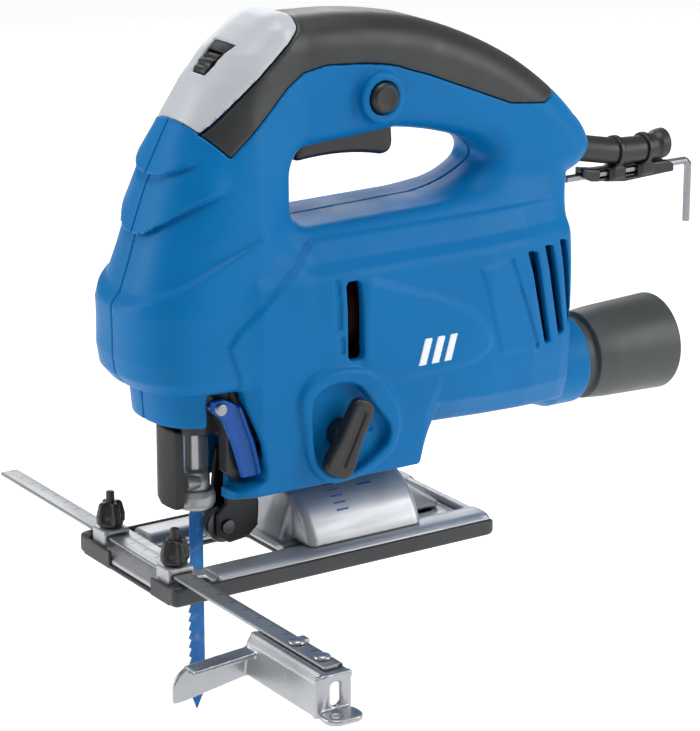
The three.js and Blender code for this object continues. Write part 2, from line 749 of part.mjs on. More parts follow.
function lockButton() {
  const profile = [[0, -13.8], [6.7, -13.8], [6.7, -24.2], [5.6, -25.6], [0, -26]];
  return turned(profile, 'y', LOCK_X, 0, LOCK_Z, 20);
}

function switchModule() {
  const body = box(2, 46, -9.5, 9.5, 191.5, 209);
  const plunger = box(16, 26, -5, 5, 190.9, 192);
  return join(body, plunger);
}

function pendulumKnob() {
  const disc = rod('y', 12.5, -39, -33.3, KNOB_X, 0, KNOB_Z, 28);
  const dx = 6.7;
  const dz = 13.5;
  const len = Math.hypot(dx, dz);
  const ux = dx / len;
  const uz = dz / len;
  const bar = (half, width, y0, y1) => prismXZ(outline([
    [KNOB_X + ux * half - uz * width, KNOB_Z + uz * half + ux * width],
    [KNOB_X + ux * (half + 3), KNOB_Z + uz * (half + 3)],
    [KNOB_X + ux * half + uz * width, KNOB_Z + uz * half - ux * width],
    [KNOB_X - ux * half + uz * width, KNOB_Z - uz * half - ux * width],
    [KNOB_X - ux * half - uz * width, KNOB_Z - uz * half + ux * width],
  ]), y0, y1);
  return join(disc, bar(15, 4.6, -44, -38.9), bar(13.5, 3.6, -45.5, -43));
}

function pendulumShaft() {
  const stem = rod('y', 4.4, -33, -14, KNOB_X, 0, KNOB_Z, 16);
  const cam = rod('y', 3, -14.5, -8, KNOB_X + 1.2, 0, KNOB_Z, 12);
  return join(stem, cam);
}

// ---- gear head ----
function gearCase() {
  const nose = rod('z', 12, 60.6, 128, PLUNGER_X, 0, 0, 20);
  const block = box(-42.5, -16, -23.5, 23.5, 60, 128);
  const pillarShape = outline([[-58.3, 63], [-58.3, 30], [-56.5, 26], [-54.4, 26], [-54.2, 40], [-53.6, 63]]);
  const pillar = prismXZ(pillarShape, 4, 10);
  const cheekShape = outline([
    [-50, 84], [-41, 84], [-34, 62], [-31.5, 48], [-38, 41], [-43, 46], [-43, 64], [-50, 78.4],
  ]);
  const cheek = prismXZ(cheekShape, -22.5, -15);
  const shelf = box(-53, -41, -16.6, -9, 78.4, 84);
  const chamber = rod('x', 21, -40.5, -15, 0, 0, GEAR_Z, 28);
  const pinionRoom = rod('x', 6.4, -30, -15, 0, 0, MOTOR_Z, 16);
  const yokeRoom = box(-41.9, -27, -18, 18, 64, 101);
  const stemRoom = box(-52, -41, -7, 7, 64, 101);
  const way = rod('z', 6.6, 50, 130, PLUNGER_X, 0, 0, 20);
  const armRoom = box(-40, -15, -7, 7, 55, 62);
  return cut(join(nose, block, pillar, cheek, shelf), chamber, pinionRoom, yokeRoom, stemRoom, way, armRoom);
}

function gearCover() {
  const plate = box(-15.7, -11, -23.5, 23.5, 60, 128);
  const seat = rod('x', 11.4, -11.5, -3.6, 0, 0, MOTOR_Z, 20);
  const bore = rod('x', 8.3, -10.2, -2, 0, 0, MOTOR_Z, 20);
  const way = rod('x', 4, -20, -2, 0, 0, MOTOR_Z, 16);
  const axle = rod('x', 3.4, -20, -8, 0, 0, GEAR_Z, 16);
  return cut(join(plate, seat), bore, way, axle);
}

function toothed(teeth, rRoot, rTip, x0, x1, z, phase, fill) {
  const shape = new THREE.Shape();
  const pitch = (Math.PI * 2) / teeth;
  const point = (r, t) => [r * Math.cos(t), r * Math.sin(t)];
  for (let i = 0; i < teeth; i += 1) {
    const a = i * pitch + phase;
    const start = point(rRoot, a - pitch * fill);
    if (i === 0) shape.moveTo(...start);
    else shape.lineTo(...start);
    shape.lineTo(...point(rTip, a - pitch * fill * 0.45));
    shape.lineTo(...point(rTip, a + pitch * fill * 0.45));
    shape.lineTo(...point(rRoot, a + pitch * fill));
  }
  const g = extrude(shape, x1 - x0);
  g.applyMatrix4(TURN_YZ);
  g.translate(x0, 0, z);
  return toManifold(g);
}

function driveGear() {
  const pitch = (Math.PI * 2) / GEAR_TEETH;
  const wheel = toothed(GEAR_TEETH, 17.5, 19.9, -24, -17, GEAR_Z, pitch / 2, 0.24);
  const bore = rod('x', 3.3, -30, -10, 0, 0, GEAR_Z, 16);
  const hub = ring('x', 6, 3.3, -25.5, -16.4, 0, 0, GEAR_Z, 16);
  const pin = rod('x', 2.6, -27.3, -23, 0, 0, YOKE_Z, 16);
  return join(cut(wheel, bore), hub, pin);
}

function gearAxle() {
  return rod('x', 3, -26, -8.5, 0, 0, GEAR_Z, 16);
}

function plunger() {
  return rod('z', 4.2, 42.5, 150, PLUNGER_X, 0, 0, 16);
}

function plungerBush(z0, z1) {
  return ring('z', 6.3, 4.5, z0, z1, PLUNGER_X, 0, 0, 16);
}

function yoke() {
  const block = box(-41.4, -27.6, -15, 15, YOKE_Z - 6, YOKE_Z + 6);
  const slot = box(-34, -27, -12.5, 12.5, YOKE_Z - 3, YOKE_Z + 3);
  const grip = box(-51, -41, -6, 6, YOKE_Z - 6, YOKE_Z + 6);
  const bore = rod('z', 4.5, 0, 200, PLUNGER_X, 0, 0, 16);
  return cut(join(block, grip), slot, bore);
}

function bladeClamp() {
  const body = rod('z', 6.4, 34.4, 42.2, PLUNGER_X, 0, 0, 20);
  const lugFar = rod('x', 3.4, -53, -47, 0, 4, 38.5, 12);
  const lugNear = rod('x', 3.4, -53, -47, 0, -4, 38.5, 12);
  const slot = box(-51, -41.5, -1, 1, 30, 40);
  return cut(join(body, lugFar, lugNear), slot);
}

function clampCollar() {
  const profile = [[3.8, 26], [7.4, 26], [8.6, 28], [8.6, 31.5], [7.6, 34.1], [3.8, 34.1], [3.8, 26]];
  const body = turned(profile, 'z', PLUNGER_X, 0, 0, 20);
  const notch = box(-60, -40, -1.1, 1.1, 25, 36);
  return cut(body, notch.intersect(box(-60, -40, -2, 2, 25, 26.6)));
}

const BLADE_FRONT = -49.8;
const BLADE_BACK = -42.6;
const BLADE_TIP = -65.7;

function blade() {
  const pitch = 4;
  const teethTop = 2;
  const count = 15;
  const points = [
    [BLADE_BACK, BLADE_TIP + 9], [BLADE_BACK, 22], [-43.6, 24], [-43.6, 38], [-48.4, 38], [-48.4, 24],
  ];
  points.push([BLADE_FRONT + 1, 22], [BLADE_FRONT + 1, teethTop + 2]);
  for (let i = 0; i < count; i += 1) {
    const z = teethTop - i * pitch;
    points.push([BLADE_FRONT + 1.1, z]);
    points.push([BLADE_FRONT - 0.2, z - pitch * 0.8]);
  }
  points.push([BLADE_FRONT + 2, BLADE_TIP + 3]);
  points.push([BLADE_FRONT + 3, BLADE_TIP]);
  return prismXZ(outline(points), -0.6, 0.6);
}

function releaseLever() {
  const shape = outline([[-55, 80], [-48, 80.4], [-41, 77], [-34.5, 60], [-31.4, 46.6], [-33.6, 44.6],
    [-39.5, 45], [-44, 60], [-48.5, 71], [-55, 76]]);
  const strap = prismXZ(shape, -28.5, -25.5);
  const edge = outline([[-42.4, 76.4], [-41, 77], [-34.5, 60], [-31.4, 46.6], [-32.8, 46], [-36, 60]]);
  const rim = prismXZ(edge, -30.5, -25.5);
  const pivot = rod('y', 3, -25.8, -22.8, -50, 0, 76.6, 16);
  return join(strap, rim, pivot);
}

function clearGuard() {
  const outer = 20;
  const wall = 1.3;
  const arc = (r) => {
    const s = new THREE.Shape();
    s.moveTo(-38, -r);
    s.lineTo(-47, -r);
    s.quadraticCurveTo(-41.5 - r, -r, -41.5 - r, 0);
    s.quadraticCurveTo(-41.5 - r, r, -47, r);
    s.lineTo(-38, r);
    return s;
  };
  const shell = cut(prismXY(arc(outer), 24, 63), prismXY(arc(outer - wall), 20, 66));
  const trimShape = outline([[-70, 10], [-30, 10], [-30, 46], [-47, 34], [-52, 30.5], [-70, 27.5]]);
  const open = box(-43.4, -30, -30, 30, 0, 80);
  const near = prismXZ(outline([[-54, 20], [-30, 20], [-30, 70], [-51, 70], [-51, 44], [-54, 34]]), -30, -2);
  return cut(shell, prismXZ(trimShape, -30, 30), open, near);
}

// ---- roller support ----
const ROLLER_X = -34.1;
const ROLLER_Z = 16.5;
const ROLLER_R = 8;

function rollerArm() {
  const plate = outline([
    [-39, 12], [-33, 8.6], [-24, 9.5], [-19, 14], [-18.5, 24], [-21, 36], [-21, 47], [-27, 50],
    [-33, 47], [-35, 32], [-34.5, 26.5], [-39, 22],
  ]);
  const far = prismXZ(plate, 4.4, 6.4);
  const near = far.mirror([0, 1, 0]);
  const backShape = outline([
    [-24.6, 9.5], [-24, 9.5], [-19, 14], [-18.5, 24], [-21, 36], [-21, 47], [-25, 47], [-25, 26],
  ]);
  const back = prismXZ(backShape, -5, 5);
  const hole = rod('y', 2.3, -10, 10, ROLLER_X, 0, ROLLER_Z, 12);
  return cut(join(far, near, back), hole);
}

function guideRoller() {
  const r = ROLLER_R;
  const profile = [
    [2.3, -4], [r, -4], [r, -1.3], [r - 1.6, -0.5], [r - 1.6, 0.5], [r, 1.3], [r, 4], [2.3, 4], [2.3, -4],
  ];
  return turned(profile, 'y', ROLLER_X, 0, ROLLER_Z, 16);
}

function rollerPin() {
  const profile = [[0, -7.9], [2.9, -7.9], [2.9, -6.7], [2, -6.7], [2, 7.4], [0, 7.4]];
  return turned(profile, 'y', ROLLER_X, 0, ROLLER_Z, 16);
}

// ---- motor ----
function armatureShaft() {
  const bar = rod('x', SHAFT_R, -24.6, 112, 0, 0, MOTOR_Z, 16);
  const pinion = toothed(PINION_TEETH, 3.2, 5.6, -24.6, -16.4, MOTOR_Z, -Math.PI / 2, 0.22);
  return join(bar, pinion);
}

function armatureCore() {
  const slots = 8;
  const body = ring('x', 17.4, SHAFT_R + GAP, 20, 62, 0, 0, MOTOR_Z, 24);
  const grooves = [];
  for (let i = 0; i < slots; i += 1) {
    const a = (i / slots) * Math.PI * 2;
    const y = 17.2 * Math.cos(a);
    const z = MOTOR_Z + 17.2 * Math.sin(a);
    grooves.push(rod('x', 1.1, 19, 63, 0, y, z, 6));
  }
  return cut(body, ...grooves);
}

function fan() {
  const blades = 8;
  const disc = ring('x', 27, SHAFT_R + GAP, 3, 4.6, 0, 0, MOTOR_Z, 24);
  const hub = ring('x', 7, SHAFT_R + GAP, 3, 12, 0, 0, MOTOR_Z, 16);
  const vanes = [];
  for (let i = 0; i < blades; i += 1) {
    const vane = box(4, 12, 6, 26, MOTOR_Z - 0.7, MOTOR_Z + 0.7);
    const turn = (360 / blades) * i;
    vanes.push(vane.translate([0, 0, -MOTOR_Z]).rotate([turn, 0, 0]).translate([0, 0, MOTOR_Z]));
  }
  return join(disc, hub, ...vanes);
}

function stator() {
  const body = ring('x', 28.5, 18.2, 20, 62, 0, 0, MOTOR_Z, 32);
  return body.intersect(box(19, 63, -27, 27, MOTOR_Z - 40, MOTOR_Z + 40));
}

function dustDuct() {
  const outer = join(box(20, 125.6, -15, 15, 53.4, 69.5), rod('x', 15.6, 124, 158, 0, 0, TUBE_Z, 24));
  const inner = join(box(19, 124.8, -13.4, 13.4, 55, 68), rod('x', 13.8, 122, 160, 0, 0, TUBE_Z, 24));
  return cut(outer.intersect(box(0, 170, -30, 30, 40, 80)), inner);
}

function dustAdaptor() {
  const profile = [
    [16, TUBE_FRONT], [18.8, TUBE_FRONT], [18.8, 150], [20.2, 151.4], [20.8, 162], [22, TUBE_REAR - 1],
    [21.2, TUBE_REAR], [18.6, TUBE_REAR], [17.4, 168], [16, 162], [16, TUBE_FRONT],
  ];
  return turned(profile, 'x', 0, 0, TUBE_Z, 24);
}

// ---- cord end ----
function tubeAlong(points, r, rIn, steps, sides) {
  const path = new THREE.CatmullRomCurve3(points.map((p) => new THREE.Vector3(...p)));
  const circle = (radius) => {
    const s = new THREE.Shape();
    s.absarc(0, 0, radius, 0, Math.PI * 2);
    return s;
  };
  const options = { steps, extrudePath: path, bevelEnabled: false, curveSegments: sides };
  const solid = toManifold(new THREE.ExtrudeGeometry(circle(r), options));
  if (!rIn) return solid;
  return cut(solid, toManifold(new THREE.ExtrudeGeometry(circle(rIn), options)));
}

function cableSleeve() {
  const line = [[139, 0, 156.2], [150, 0, 154.6], [166, 0, 151.4], [184, 0, 149.6], [200, 0, 151]];
  const body = tubeAlong(line, 5.3, 3, 7, 5);
  const lip = rod('x', 6.4, 194, 199, 0, 0, 150.6, 12);
  const mouth = rod('x', 3.4, 189, 202, 0, 0, 150.4, 10);
  const collar = rod('x', 6.1, 136, 146, 0, 0, 155.5, 12);
  return cut(join(body, lip, collar), mouth);
}

const KEY_Z = 140.9;

function hexKeyClip() {
  const barShape = outline([[152, 145.4], [160, 144], [200, 143.2], [204, 141], [204, 137.4],
    [176, 136.2], [158, 138.4], [152, 141]]);
  const bar = prismXZ(barShape, -3.2, 3.2);
  const ringOne = ring('x', 7.9, 6, 170, 174, 0, 0, 150.4, 20);
  const ringTwo = ring('x', 7.9, 6, 186, 190, 0, 0, 149.9, 20);
  const way = rod('x', 2.4, 140, 210, 0, 0, KEY_Z, 12);
  return cut(join(bar, ringOne, ringTwo), way);
}

function hexKey() {
  const long = rod('x', 1.7, 145, 212.5, 0, 0, KEY_Z, 6);
  const short = rod('z', 1.7, 112.5, KEY_Z - 1, 214.2, 0, 0, 6);
  const bend = tubeAlong([[211.5, 0, KEY_Z], [213.6, 0, KEY_Z - 0.7], [214.2, 0, KEY_Z - 3]], 1.75, 0, 3, 3);
  return join(long, bend, short);
}

function housingScrew(x, z) {
  const profile = [[0, -8], [1.7, -8], [1.7, 11.4], [3.4, 11.8], [3.4, 14], [0, 14]];
  return turned(profile, 'y', x, 0, z, 10);
}

put('shoe_cover', shoeCover(), SHOE_GREY, 0.55, 0);
put('sole_plate', solePlate(), STEEL, 0.32, 0.9);
put('bevel_bracket', bevelBracket(), STEEL, 0.38, 0.85);
put('bevel_clamp_screw', clampScrew(), ALLOY, 0.4, 0.9);
put('fence_bar', fenceBar(), STEEL, 0.35, 0.9);
put('fence_plate', fencePlate(), CHROME, 0.2, 0.95);
put('fence_rivet_far', fenceRivet(RIVET_Y[0]), CHROME, 0.3, 0.9);
put('fence_rivet_near', fenceRivet(RIVET_Y[1]), CHROME, 0.3, 0.9);
put('thumb_screw_far', thumbScrew(THUMB_Y), BLACK, 0.5, 0);
put('thumb_screw_near', thumbScrew(-THUMB_Y), BLACK, 0.5, 0);
put('housing_left', housingHalf(-1), BLUE, 0.45, 0);
put('housing_right', housingHalf(1), BLUE, 0.45, 0);
put('soft_grip', softGrip(), GRIP, 0.8, 0);
put('top_panel', topPanel(), GREY, 0.4, 0.1);
put('speed_wheel', speedWheel(), BLACK, 0.5, 0);
put('trigger', trigger(), BLACK, 0.5, 0);
put('lock_button', lockButton(), BLACK, 0.45, 0);
put('switch_module', switchModule(), BLACK, 0.6, 0);
put('pendulum_knob', pendulumKnob(), BLACK, 0.5, 0);
put('pendulum_shaft', pendulumShaft(), STEEL, 0.4, 0.9);
put('gear_case', gearCase(), 0x26282b, 0.45, 0.3);
put('gear_cover', gearCover(), ALLOY, 0.5, 0.8);
put('drive_gear', driveGear(), STEEL, 0.4, 0.9);
put('gear_axle', gearAxle(), STEEL, 0.3, 0.9);
put('plunger', plunger(), CHROME, 0.2, 0.95);
put('plunger_bush_low', plungerBush(61, 66.8), 0x9c7a3c, 0.5, 0.7);
put('plunger_bush_top', plungerBush(112, 127.5), 0x9c7a3c, 0.5, 0.7);
put('yoke', yoke(), STEEL, 0.45, 0.8);
put('blade_clamp', bladeClamp(), STEEL, 0.35, 0.9);
put('clamp_collar', clampCollar(), STEEL, 0.3, 0.9);
put('blade', blade(), BLADE_BLUE, 0.4, 0.3);
put('release_lever', releaseLever(), LEVER_BLUE, 0.35, 0.1);
put('clear_guard', clearGuard(), 0xe8eef0, 0.1, 0);
put('roller_arm', rollerArm(), BLACK, 0.45, 0.3);
put('guide_roller', guideRoller(), STEEL, 0.3, 0.9);
put('roller_pin', rollerPin(), ALLOY, 0.35, 0.9);
put('armature_shaft', armatureShaft(), STEEL, 0.3, 0.9);
put('armature_core', armatureCore(), 0x6d6f72, 0.6, 0.6);
put('commutator', ring('x', 11, SHAFT_R + GAP, 76, 90, 0, 0, MOTOR_Z, 24), COPPER, 0.4, 0.9);
put('fan', fan(), BLACK, 0.6, 0);
put('bearing_front', ring('x', 8, SHAFT_R + GAP, -9.9, -4, 0, 0, MOTOR_Z, 20), CHROME, 0.25, 0.9);
put('bearing_rear', ring('x', 9, SHAFT_R + GAP, 100, 107, 0, 0, MOTOR_Z, 20), CHROME, 0.25, 0.9);
put('stator', stator(), 0x808285, 0.6, 0.6);
put('field_coil_front', ring('x', 27, 19, 13.5, 19.7, 0, 0, MOTOR_Z, 24), COPPER, 0.5, 0.7);
put('field_coil_rear', ring('x', 27, 19, 62.3, 70, 0, 0, MOTOR_Z, 24), COPPER, 0.5, 0.7);
put('brush_left', box(79.5, 86.5, -25, -11.3, MOTOR_Z - 3, MOTOR_Z + 3), 0x2a2a2c, 0.7, 0.1);
put('brush_right', box(79.5, 86.5, 11.3, 25, MOTOR_Z - 3, MOTOR_Z + 3), 0x2a2a2c, 0.7, 0.1);
put('dust_duct', dustDuct(), BLACK, 0.6, 0);
put('dust_adaptor', dustAdaptor(), 0x1d1f21, 0.5, 0);
put('cable_sleeve', cableSleeve(), BLACK, 0.6, 0);
put('hex_key_clip', hexKeyClip(), BLACK, 0.5, 0);
put('hex_key', hexKey(), CHROME, 0.25, 0.95);
SCREWS.forEach(([x, z], i) => put(`housing_screw_${i + 1}`, housingScrew(x, z), STEEL, 0.35, 0.9));

export default group;
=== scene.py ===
import bmesh
import bpy
import json
import math
import numpy as np
from mathutils import Matrix, Vector

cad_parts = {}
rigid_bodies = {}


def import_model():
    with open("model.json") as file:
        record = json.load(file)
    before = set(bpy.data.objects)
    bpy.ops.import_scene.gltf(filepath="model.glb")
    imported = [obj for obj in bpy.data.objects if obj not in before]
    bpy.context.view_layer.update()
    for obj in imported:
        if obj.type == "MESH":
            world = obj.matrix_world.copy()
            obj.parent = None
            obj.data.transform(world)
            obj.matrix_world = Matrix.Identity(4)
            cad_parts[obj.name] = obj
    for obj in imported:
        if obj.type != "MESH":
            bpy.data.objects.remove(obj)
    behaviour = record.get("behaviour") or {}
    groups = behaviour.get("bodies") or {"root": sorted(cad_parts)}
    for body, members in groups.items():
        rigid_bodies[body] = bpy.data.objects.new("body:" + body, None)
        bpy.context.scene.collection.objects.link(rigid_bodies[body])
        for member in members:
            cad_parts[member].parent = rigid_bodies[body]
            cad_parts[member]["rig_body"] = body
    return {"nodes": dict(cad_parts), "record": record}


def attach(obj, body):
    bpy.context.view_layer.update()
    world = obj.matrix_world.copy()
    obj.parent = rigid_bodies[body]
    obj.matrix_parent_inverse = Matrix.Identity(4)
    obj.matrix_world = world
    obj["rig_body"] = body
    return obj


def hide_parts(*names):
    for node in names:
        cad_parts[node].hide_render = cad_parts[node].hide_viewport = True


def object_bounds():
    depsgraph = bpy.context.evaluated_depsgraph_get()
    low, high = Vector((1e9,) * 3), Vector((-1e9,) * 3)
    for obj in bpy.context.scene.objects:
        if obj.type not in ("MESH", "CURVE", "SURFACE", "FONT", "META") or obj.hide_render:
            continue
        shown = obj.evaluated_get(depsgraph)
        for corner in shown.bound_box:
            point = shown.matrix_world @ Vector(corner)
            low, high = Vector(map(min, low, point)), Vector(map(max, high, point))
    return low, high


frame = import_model()
cad_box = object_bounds()

MM = 0.001
SAW = "saw"
SHOE = "shoe"


def placed(name, data):
    """A new object of the scene that shows the data."""
    obj = bpy.data.objects.new(name, data)
    bpy.context.scene.collection.objects.link(obj)
    return obj


# ---------------------------------------------------------------- camera
AZIMUTH = math.radians(-33.24)
ELEVATION = math.radians(17.1)
EYE = Vector((-639.75, -1024.17, 450.93)) * MM
FOCAL_SHARE = 3000 / 731
SENSOR = 36.0


def make_camera():
    data = bpy.data.cameras.new("camera")
    data.sensor_width = SENSOR
    data.lens = SENSOR * FOCAL_SHARE
    data.clip_end = 20
    eye = placed("camera", data)
    back = Vector((
        math.sin(AZIMUTH) * math.cos(ELEVATION),
        -math.cos(AZIMUTH) * math.cos(ELEVATION),
        math.sin(ELEVATION),
    ))
    right = Vector((0, 0, 1)).cross(back).normalized()
    up = back.cross(right)
    turn = Matrix((right, up, back)).transposed()
    eye.matrix_world = Matrix.Translation(EYE) @ turn.to_4x4()
    bpy.context.scene.camera = eye


make_camera()


# ---------------------------------------------------------------- materials
def srgb(red, green, blue):
    """Screen colour, 0 to 255 a channel, as the linear colour that shaders take."""
    out = []
    for c in (red, green, blue):
        s = c / 255
        out.append(s / 12.92 if s <= 0.04045 else ((s + 0.055) / 1.055) ** 2.4)
    return (*out, 1.0)


def scaled(colour, k):
    return (*(min(1, c * k) for c in colour[:3]), 1.0)


# sockets of the Mix node that carry colours
MIX_FACTOR, MIX_FIRST, MIX_SECOND, MIX_RESULT = 0, 6, 7, 2


class Finish:
    """A node material around one Principled shader, built step by step."""

    def __init__(self, name, roughness=0.5, metallic=0.0, specular=0.5):
        self.material = bpy.data.materials.new(name)
        self.material.use_nodes = True
        self.tree = self.material.node_tree
        self.shader = self.tree.nodes["Principled BSDF"]
        self.shader.inputs["Roughness"].default_value = roughness
        self.shader.inputs["Metallic"].default_value = metallic
        self.shader.inputs["Specular IOR Level"].default_value = specular
        self.place = self.tree.nodes.new("ShaderNodeTexCoord").outputs["Object"]
        self.height = None

    def node(self, kind, **values):
        made = self.tree.nodes.new(kind)
        for key, value in values.items():
            if key in made.inputs:
                made.inputs[key].default_value = value
            else:
                setattr(made, key, value)
        return made

    def link(self, out, into):
        self.tree.links.new(out, into)

    def stretched(self, scale):
        mapping = self.node("ShaderNodeMapping")
        mapping.inputs["Scale"].default_value = scale
        self.link(self.place, mapping.inputs["Vector"])
        return mapping.outputs["Vector"]

    def noise(self, scale, detail=3.0, stretch=None, rough=0.5):
        made = self.node("ShaderNodeTexNoise", Scale=scale, Detail=detail, Roughness=rough)
        self.link(self.stretched(stretch) if stretch else self.place, made.inputs["Vector"])
        return made.outputs["Fac"]

    def cells(self, scale):
        made = self.node("ShaderNodeTexVoronoi", Scale=scale)
        self.link(self.place, made.inputs["Vector"])
        return made.outputs["Distance"]

    def range(self, fac, lo, hi, from_lo=0.3, from_hi=0.7):
        made = self.node("ShaderNodeMapRange")
        made.inputs["From Min"].default_value = from_lo
        made.inputs["From Max"].default_value = from_hi
        made.inputs["To Min"].default_value = lo
        made.inputs["To Max"].default_value = hi
        self.link(fac, made.inputs["Value"])
        return made.outputs["Result"]

    def mix(self, fac, a, b):
        made = self.node("ShaderNodeMix", data_type="RGBA")
        self.join(fac, made.inputs[MIX_FACTOR])
        self.join(a, made.inputs[MIX_FIRST])
        self.join(b, made.inputs[MIX_SECOND])
        return made.outputs[MIX_RESULT]

    def math(self, operation, a, b=0.0):
        made = self.node("ShaderNodeMath", operation=operation)
        self.join(a, made.inputs[0])
        self.join(b, made.inputs[1])
        return made.outputs[0]

    def join(self, value, socket):
        if isinstance(value, bpy.types.NodeSocket):
            self.link(value, socket)
        else:
            socket.default_value = value

    def colour(self, value):
        self.join(value, self.shader.inputs["Base Color"])
        return self

    def rough(self, value):
        self.join(value, self.shader.inputs["Roughness"])
        return self

    def bump(self, fac, distance, strength=1.0):
        made = self.node("ShaderNodeBump", Distance=distance, Strength=strength)
        self.link(fac, made.inputs["Height"])
        if self.height is not None:
            self.link(self.height, made.inputs["Normal"])
        self.height = made.outputs["Normal"]
        self.link(self.height, self.shader.inputs["Normal"])
        return self

    def edges(self, lo, hi):
        """0 on flats and in hollows, 1 along raised edges."""
        geometry = self.node("ShaderNodeNewGeometry")
        return self.range(geometry.outputs["Pointiness"], 0.0, 1.0, lo, hi)

    def set(self, **values):
        for key, value in values.items():
            self.shader.inputs[key.replace("_", " ")].default_value = value
        return self


def moulded(name, colour, roughness, grain=900, depth=0.00004, vary=0.08, edge=0.25):
    """Moulded plastic: fine spark-eroded grain, faint colour drift, and raised edges lightened as a painted
    highlight.
    """
    f = Finish(name, roughness)
    drift = f.noise(22, 4)
    base = f.mix(f.range(drift, 0, 1), scaled(colour, 1 - vary), scaled(colour, 1 + vary))
    # painted highlight: raised edges are lightened towards 1.5 times the colour, by up to the share edge
    rim = f.edges(0.52, 0.6)
    f.colour(f.mix(f.range(rim, 0, edge, 0, 1), base, scaled(colour, 1.5)))
    f.rough(f.range(f.noise(60, 5), roughness - 0.06, roughness + 0.07))
    f.bump(f.noise(grain, 2), depth, 0.5)
    return f


def metal(name, colour, roughness, brush=None, depth=0.00003, vary=0.1, shine=1.0):
    """Bare or plated metal, with brushed lines where brush gives their stretch."""
    f = Finish(name, roughness, shine)
    cloud = f.noise(35, 5)
    f.colour(f.mix(f.range(cloud, 0, 1), scaled(colour, 1 - vary), scaled(colour, 1 + vary)))
    lines = f.noise(240, 3, stretch=brush) if brush else f.noise(500, 4)
    f.rough(f.range(lines, max(0.04, roughness - 0.08), roughness + 0.1))
    f.bump(lines, depth, 0.35)
    return f


BLUE = srgb(0, 108, 170)
RULE_EDGE = -0.0673
looks = {}


def make_looks():
    looks["blue"] = moulded("blue_plastic", BLUE, 0.42, grain=1500, depth=0.00003, vary=0.05, edge=0.18)
    looks["blue"].set(Specular_IOR_Level=0.14)
    grey = moulded("grey_plastic", srgb(186, 191, 197), 0.34, grain=2200, depth=0.00001, vary=0.03, edge=0.1)
    looks["grey"] = grey
    rubber = Finish("grip_rubber", 0.55)
    pores = rubber.cells(1100)
    rubber.colour(rubber.mix(rubber.range(rubber.noise(40, 4), 0, 1), srgb(20, 24, 25), srgb(34, 38, 39)))
    rubber.rough(rubber.range(rubber.noise(90, 4), 0.4, 0.55))
    rubber.set(Coat_Weight=0.5, Coat_Roughness=0.45, Specular_IOR_Level=0.35)
    rubber.bump(pores, 0.00006, 0.5)
    looks["rubber"] = rubber
    looks["black"] = moulded("black_plastic", srgb(24, 25, 27), 0.38, grain=1300, vary=0.15, edge=0.1)
    looks["shoe"] = moulded("shoe_plastic", srgb(46, 47, 49), 0.48, grain=900, vary=0.15, edge=0.2)
    tube = srgb(62, 67, 67)
    looks["tube"] = moulded("tube_plastic", tube, 0.42, grain=2000, depth=0.00002, vary=0.12, edge=0.1)
    looks["steel"] = metal("bright_steel", (0.42, 0.43, 0.45, 1), 0.36, brush=(0.12, 1, 1), shine=0.6)
    chrome = metal("chrome_plate", (0.4, 0.41, 0.43, 1), 0.27, depth=0.000004, vary=0.08, shine=0.8)
    chrome.rough(chrome.range(chrome.noise(35, 3), 0.25, 0.33))
    looks["chrome"] = chrome
    looks["cast"] = metal("alloy_casting", (0.3, 0.31, 0.33, 1), 0.4)
    iron_black = srgb(30, 31, 33)
    looks["casting"] = moulded("gear_casting", iron_black, 0.4, grain=500, depth=0.00008, vary=0.2, edge=0.3)
    # painted shade: a near-black copy of the gear casting for the snout, which sits in shade behind the guard
    looks["deep"] = moulded("shaded_casting", srgb(7, 8, 9), 0.6, grain=500, depth=0.00005, vary=0.2, edge=0.1)
    looks["deep"].set(Specular_IOR_Level=0.2)
    looks["bronze"] = metal("bronze", (0.55, 0.38, 0.16, 1), 0.4)
    looks["copper"] = metal("copper", (0.12, 0.05, 0.025, 1), 0.5, brush=(1, 0.2, 0.2))
    looks["carbon"] = moulded("carbon", srgb(34, 34, 36), 0.6, grain=700)
    looks["iron"] = metal("laminations", (0.34, 0.35, 0.36, 1), 0.5, brush=(8, 1, 1))
    lever_blue = srgb(2, 80, 162)
    looks["lever"] = moulded("lever_plastic", lever_blue, 0.25, grain=1500, depth=0.00001, vary=0.06)
    looks["lever"].set(Specular_IOR_Level=0.3)
    looks["dark"] = metal("dark_steel", (0.12, 0.125, 0.13, 1), 0.35)
    looks["white"] = moulded("pale_print", srgb(236, 240, 244), 0.35, grain=2500, depth=0.00001, vary=0.03)
    looks["mark"] = moulded("mark_print", srgb(30, 60, 150), 0.4, grain=2500, depth=0.00001, vary=0.06)
    sleeve = moulded("sleeve_rubber", iron_black, 0.42, grain=1100, depth=0.00003, vary=0.12, edge=0.08)
    looks["sleeve"] = sleeve
    looks["rule"] = ruler_steel()
    looks["blade"] = blade_paint()
    looks["clear"] = clear_plastic()


def ruler_steel():
    """Brushed bar with dark cut lines every two millimetres, longer every ten millimetres."""
    f = metal("ruler_steel", (0.3, 0.31, 0.32, 1), 0.34, brush=(1, 0.1, 1), shine=0.6)
    split = f.node("ShaderNodeSeparateXYZ")
    f.link(f.place, split.inputs["Vector"])
    base = f.shader.inputs["Base Color"].links[0].from_socket
    dark = None
    for spacing, width, reach in ((0.002, 0.0004, 0.0022), (0.01, 0.0006, 0.0042)):
        along = f.math("DIVIDE", split.outputs["Y"], spacing)
        near = f.math("ABSOLUTE", f.math("SUBTRACT", f.math("FRACT", along), 0.5))
        line = f.math("GREATER_THAN", near, 0.5 - width / spacing / 2)
        band = f.math("GREATER_THAN", split.outputs["X"], RULE_EDGE - reach)
        both = f.math("MULTIPLY", line, band)
        dark = both if dark is None else f.math("MAXIMUM", dark, both)
    f.colour(f.mix(dark, base, (0.03, 0.03, 0.035, 1)))
    return f


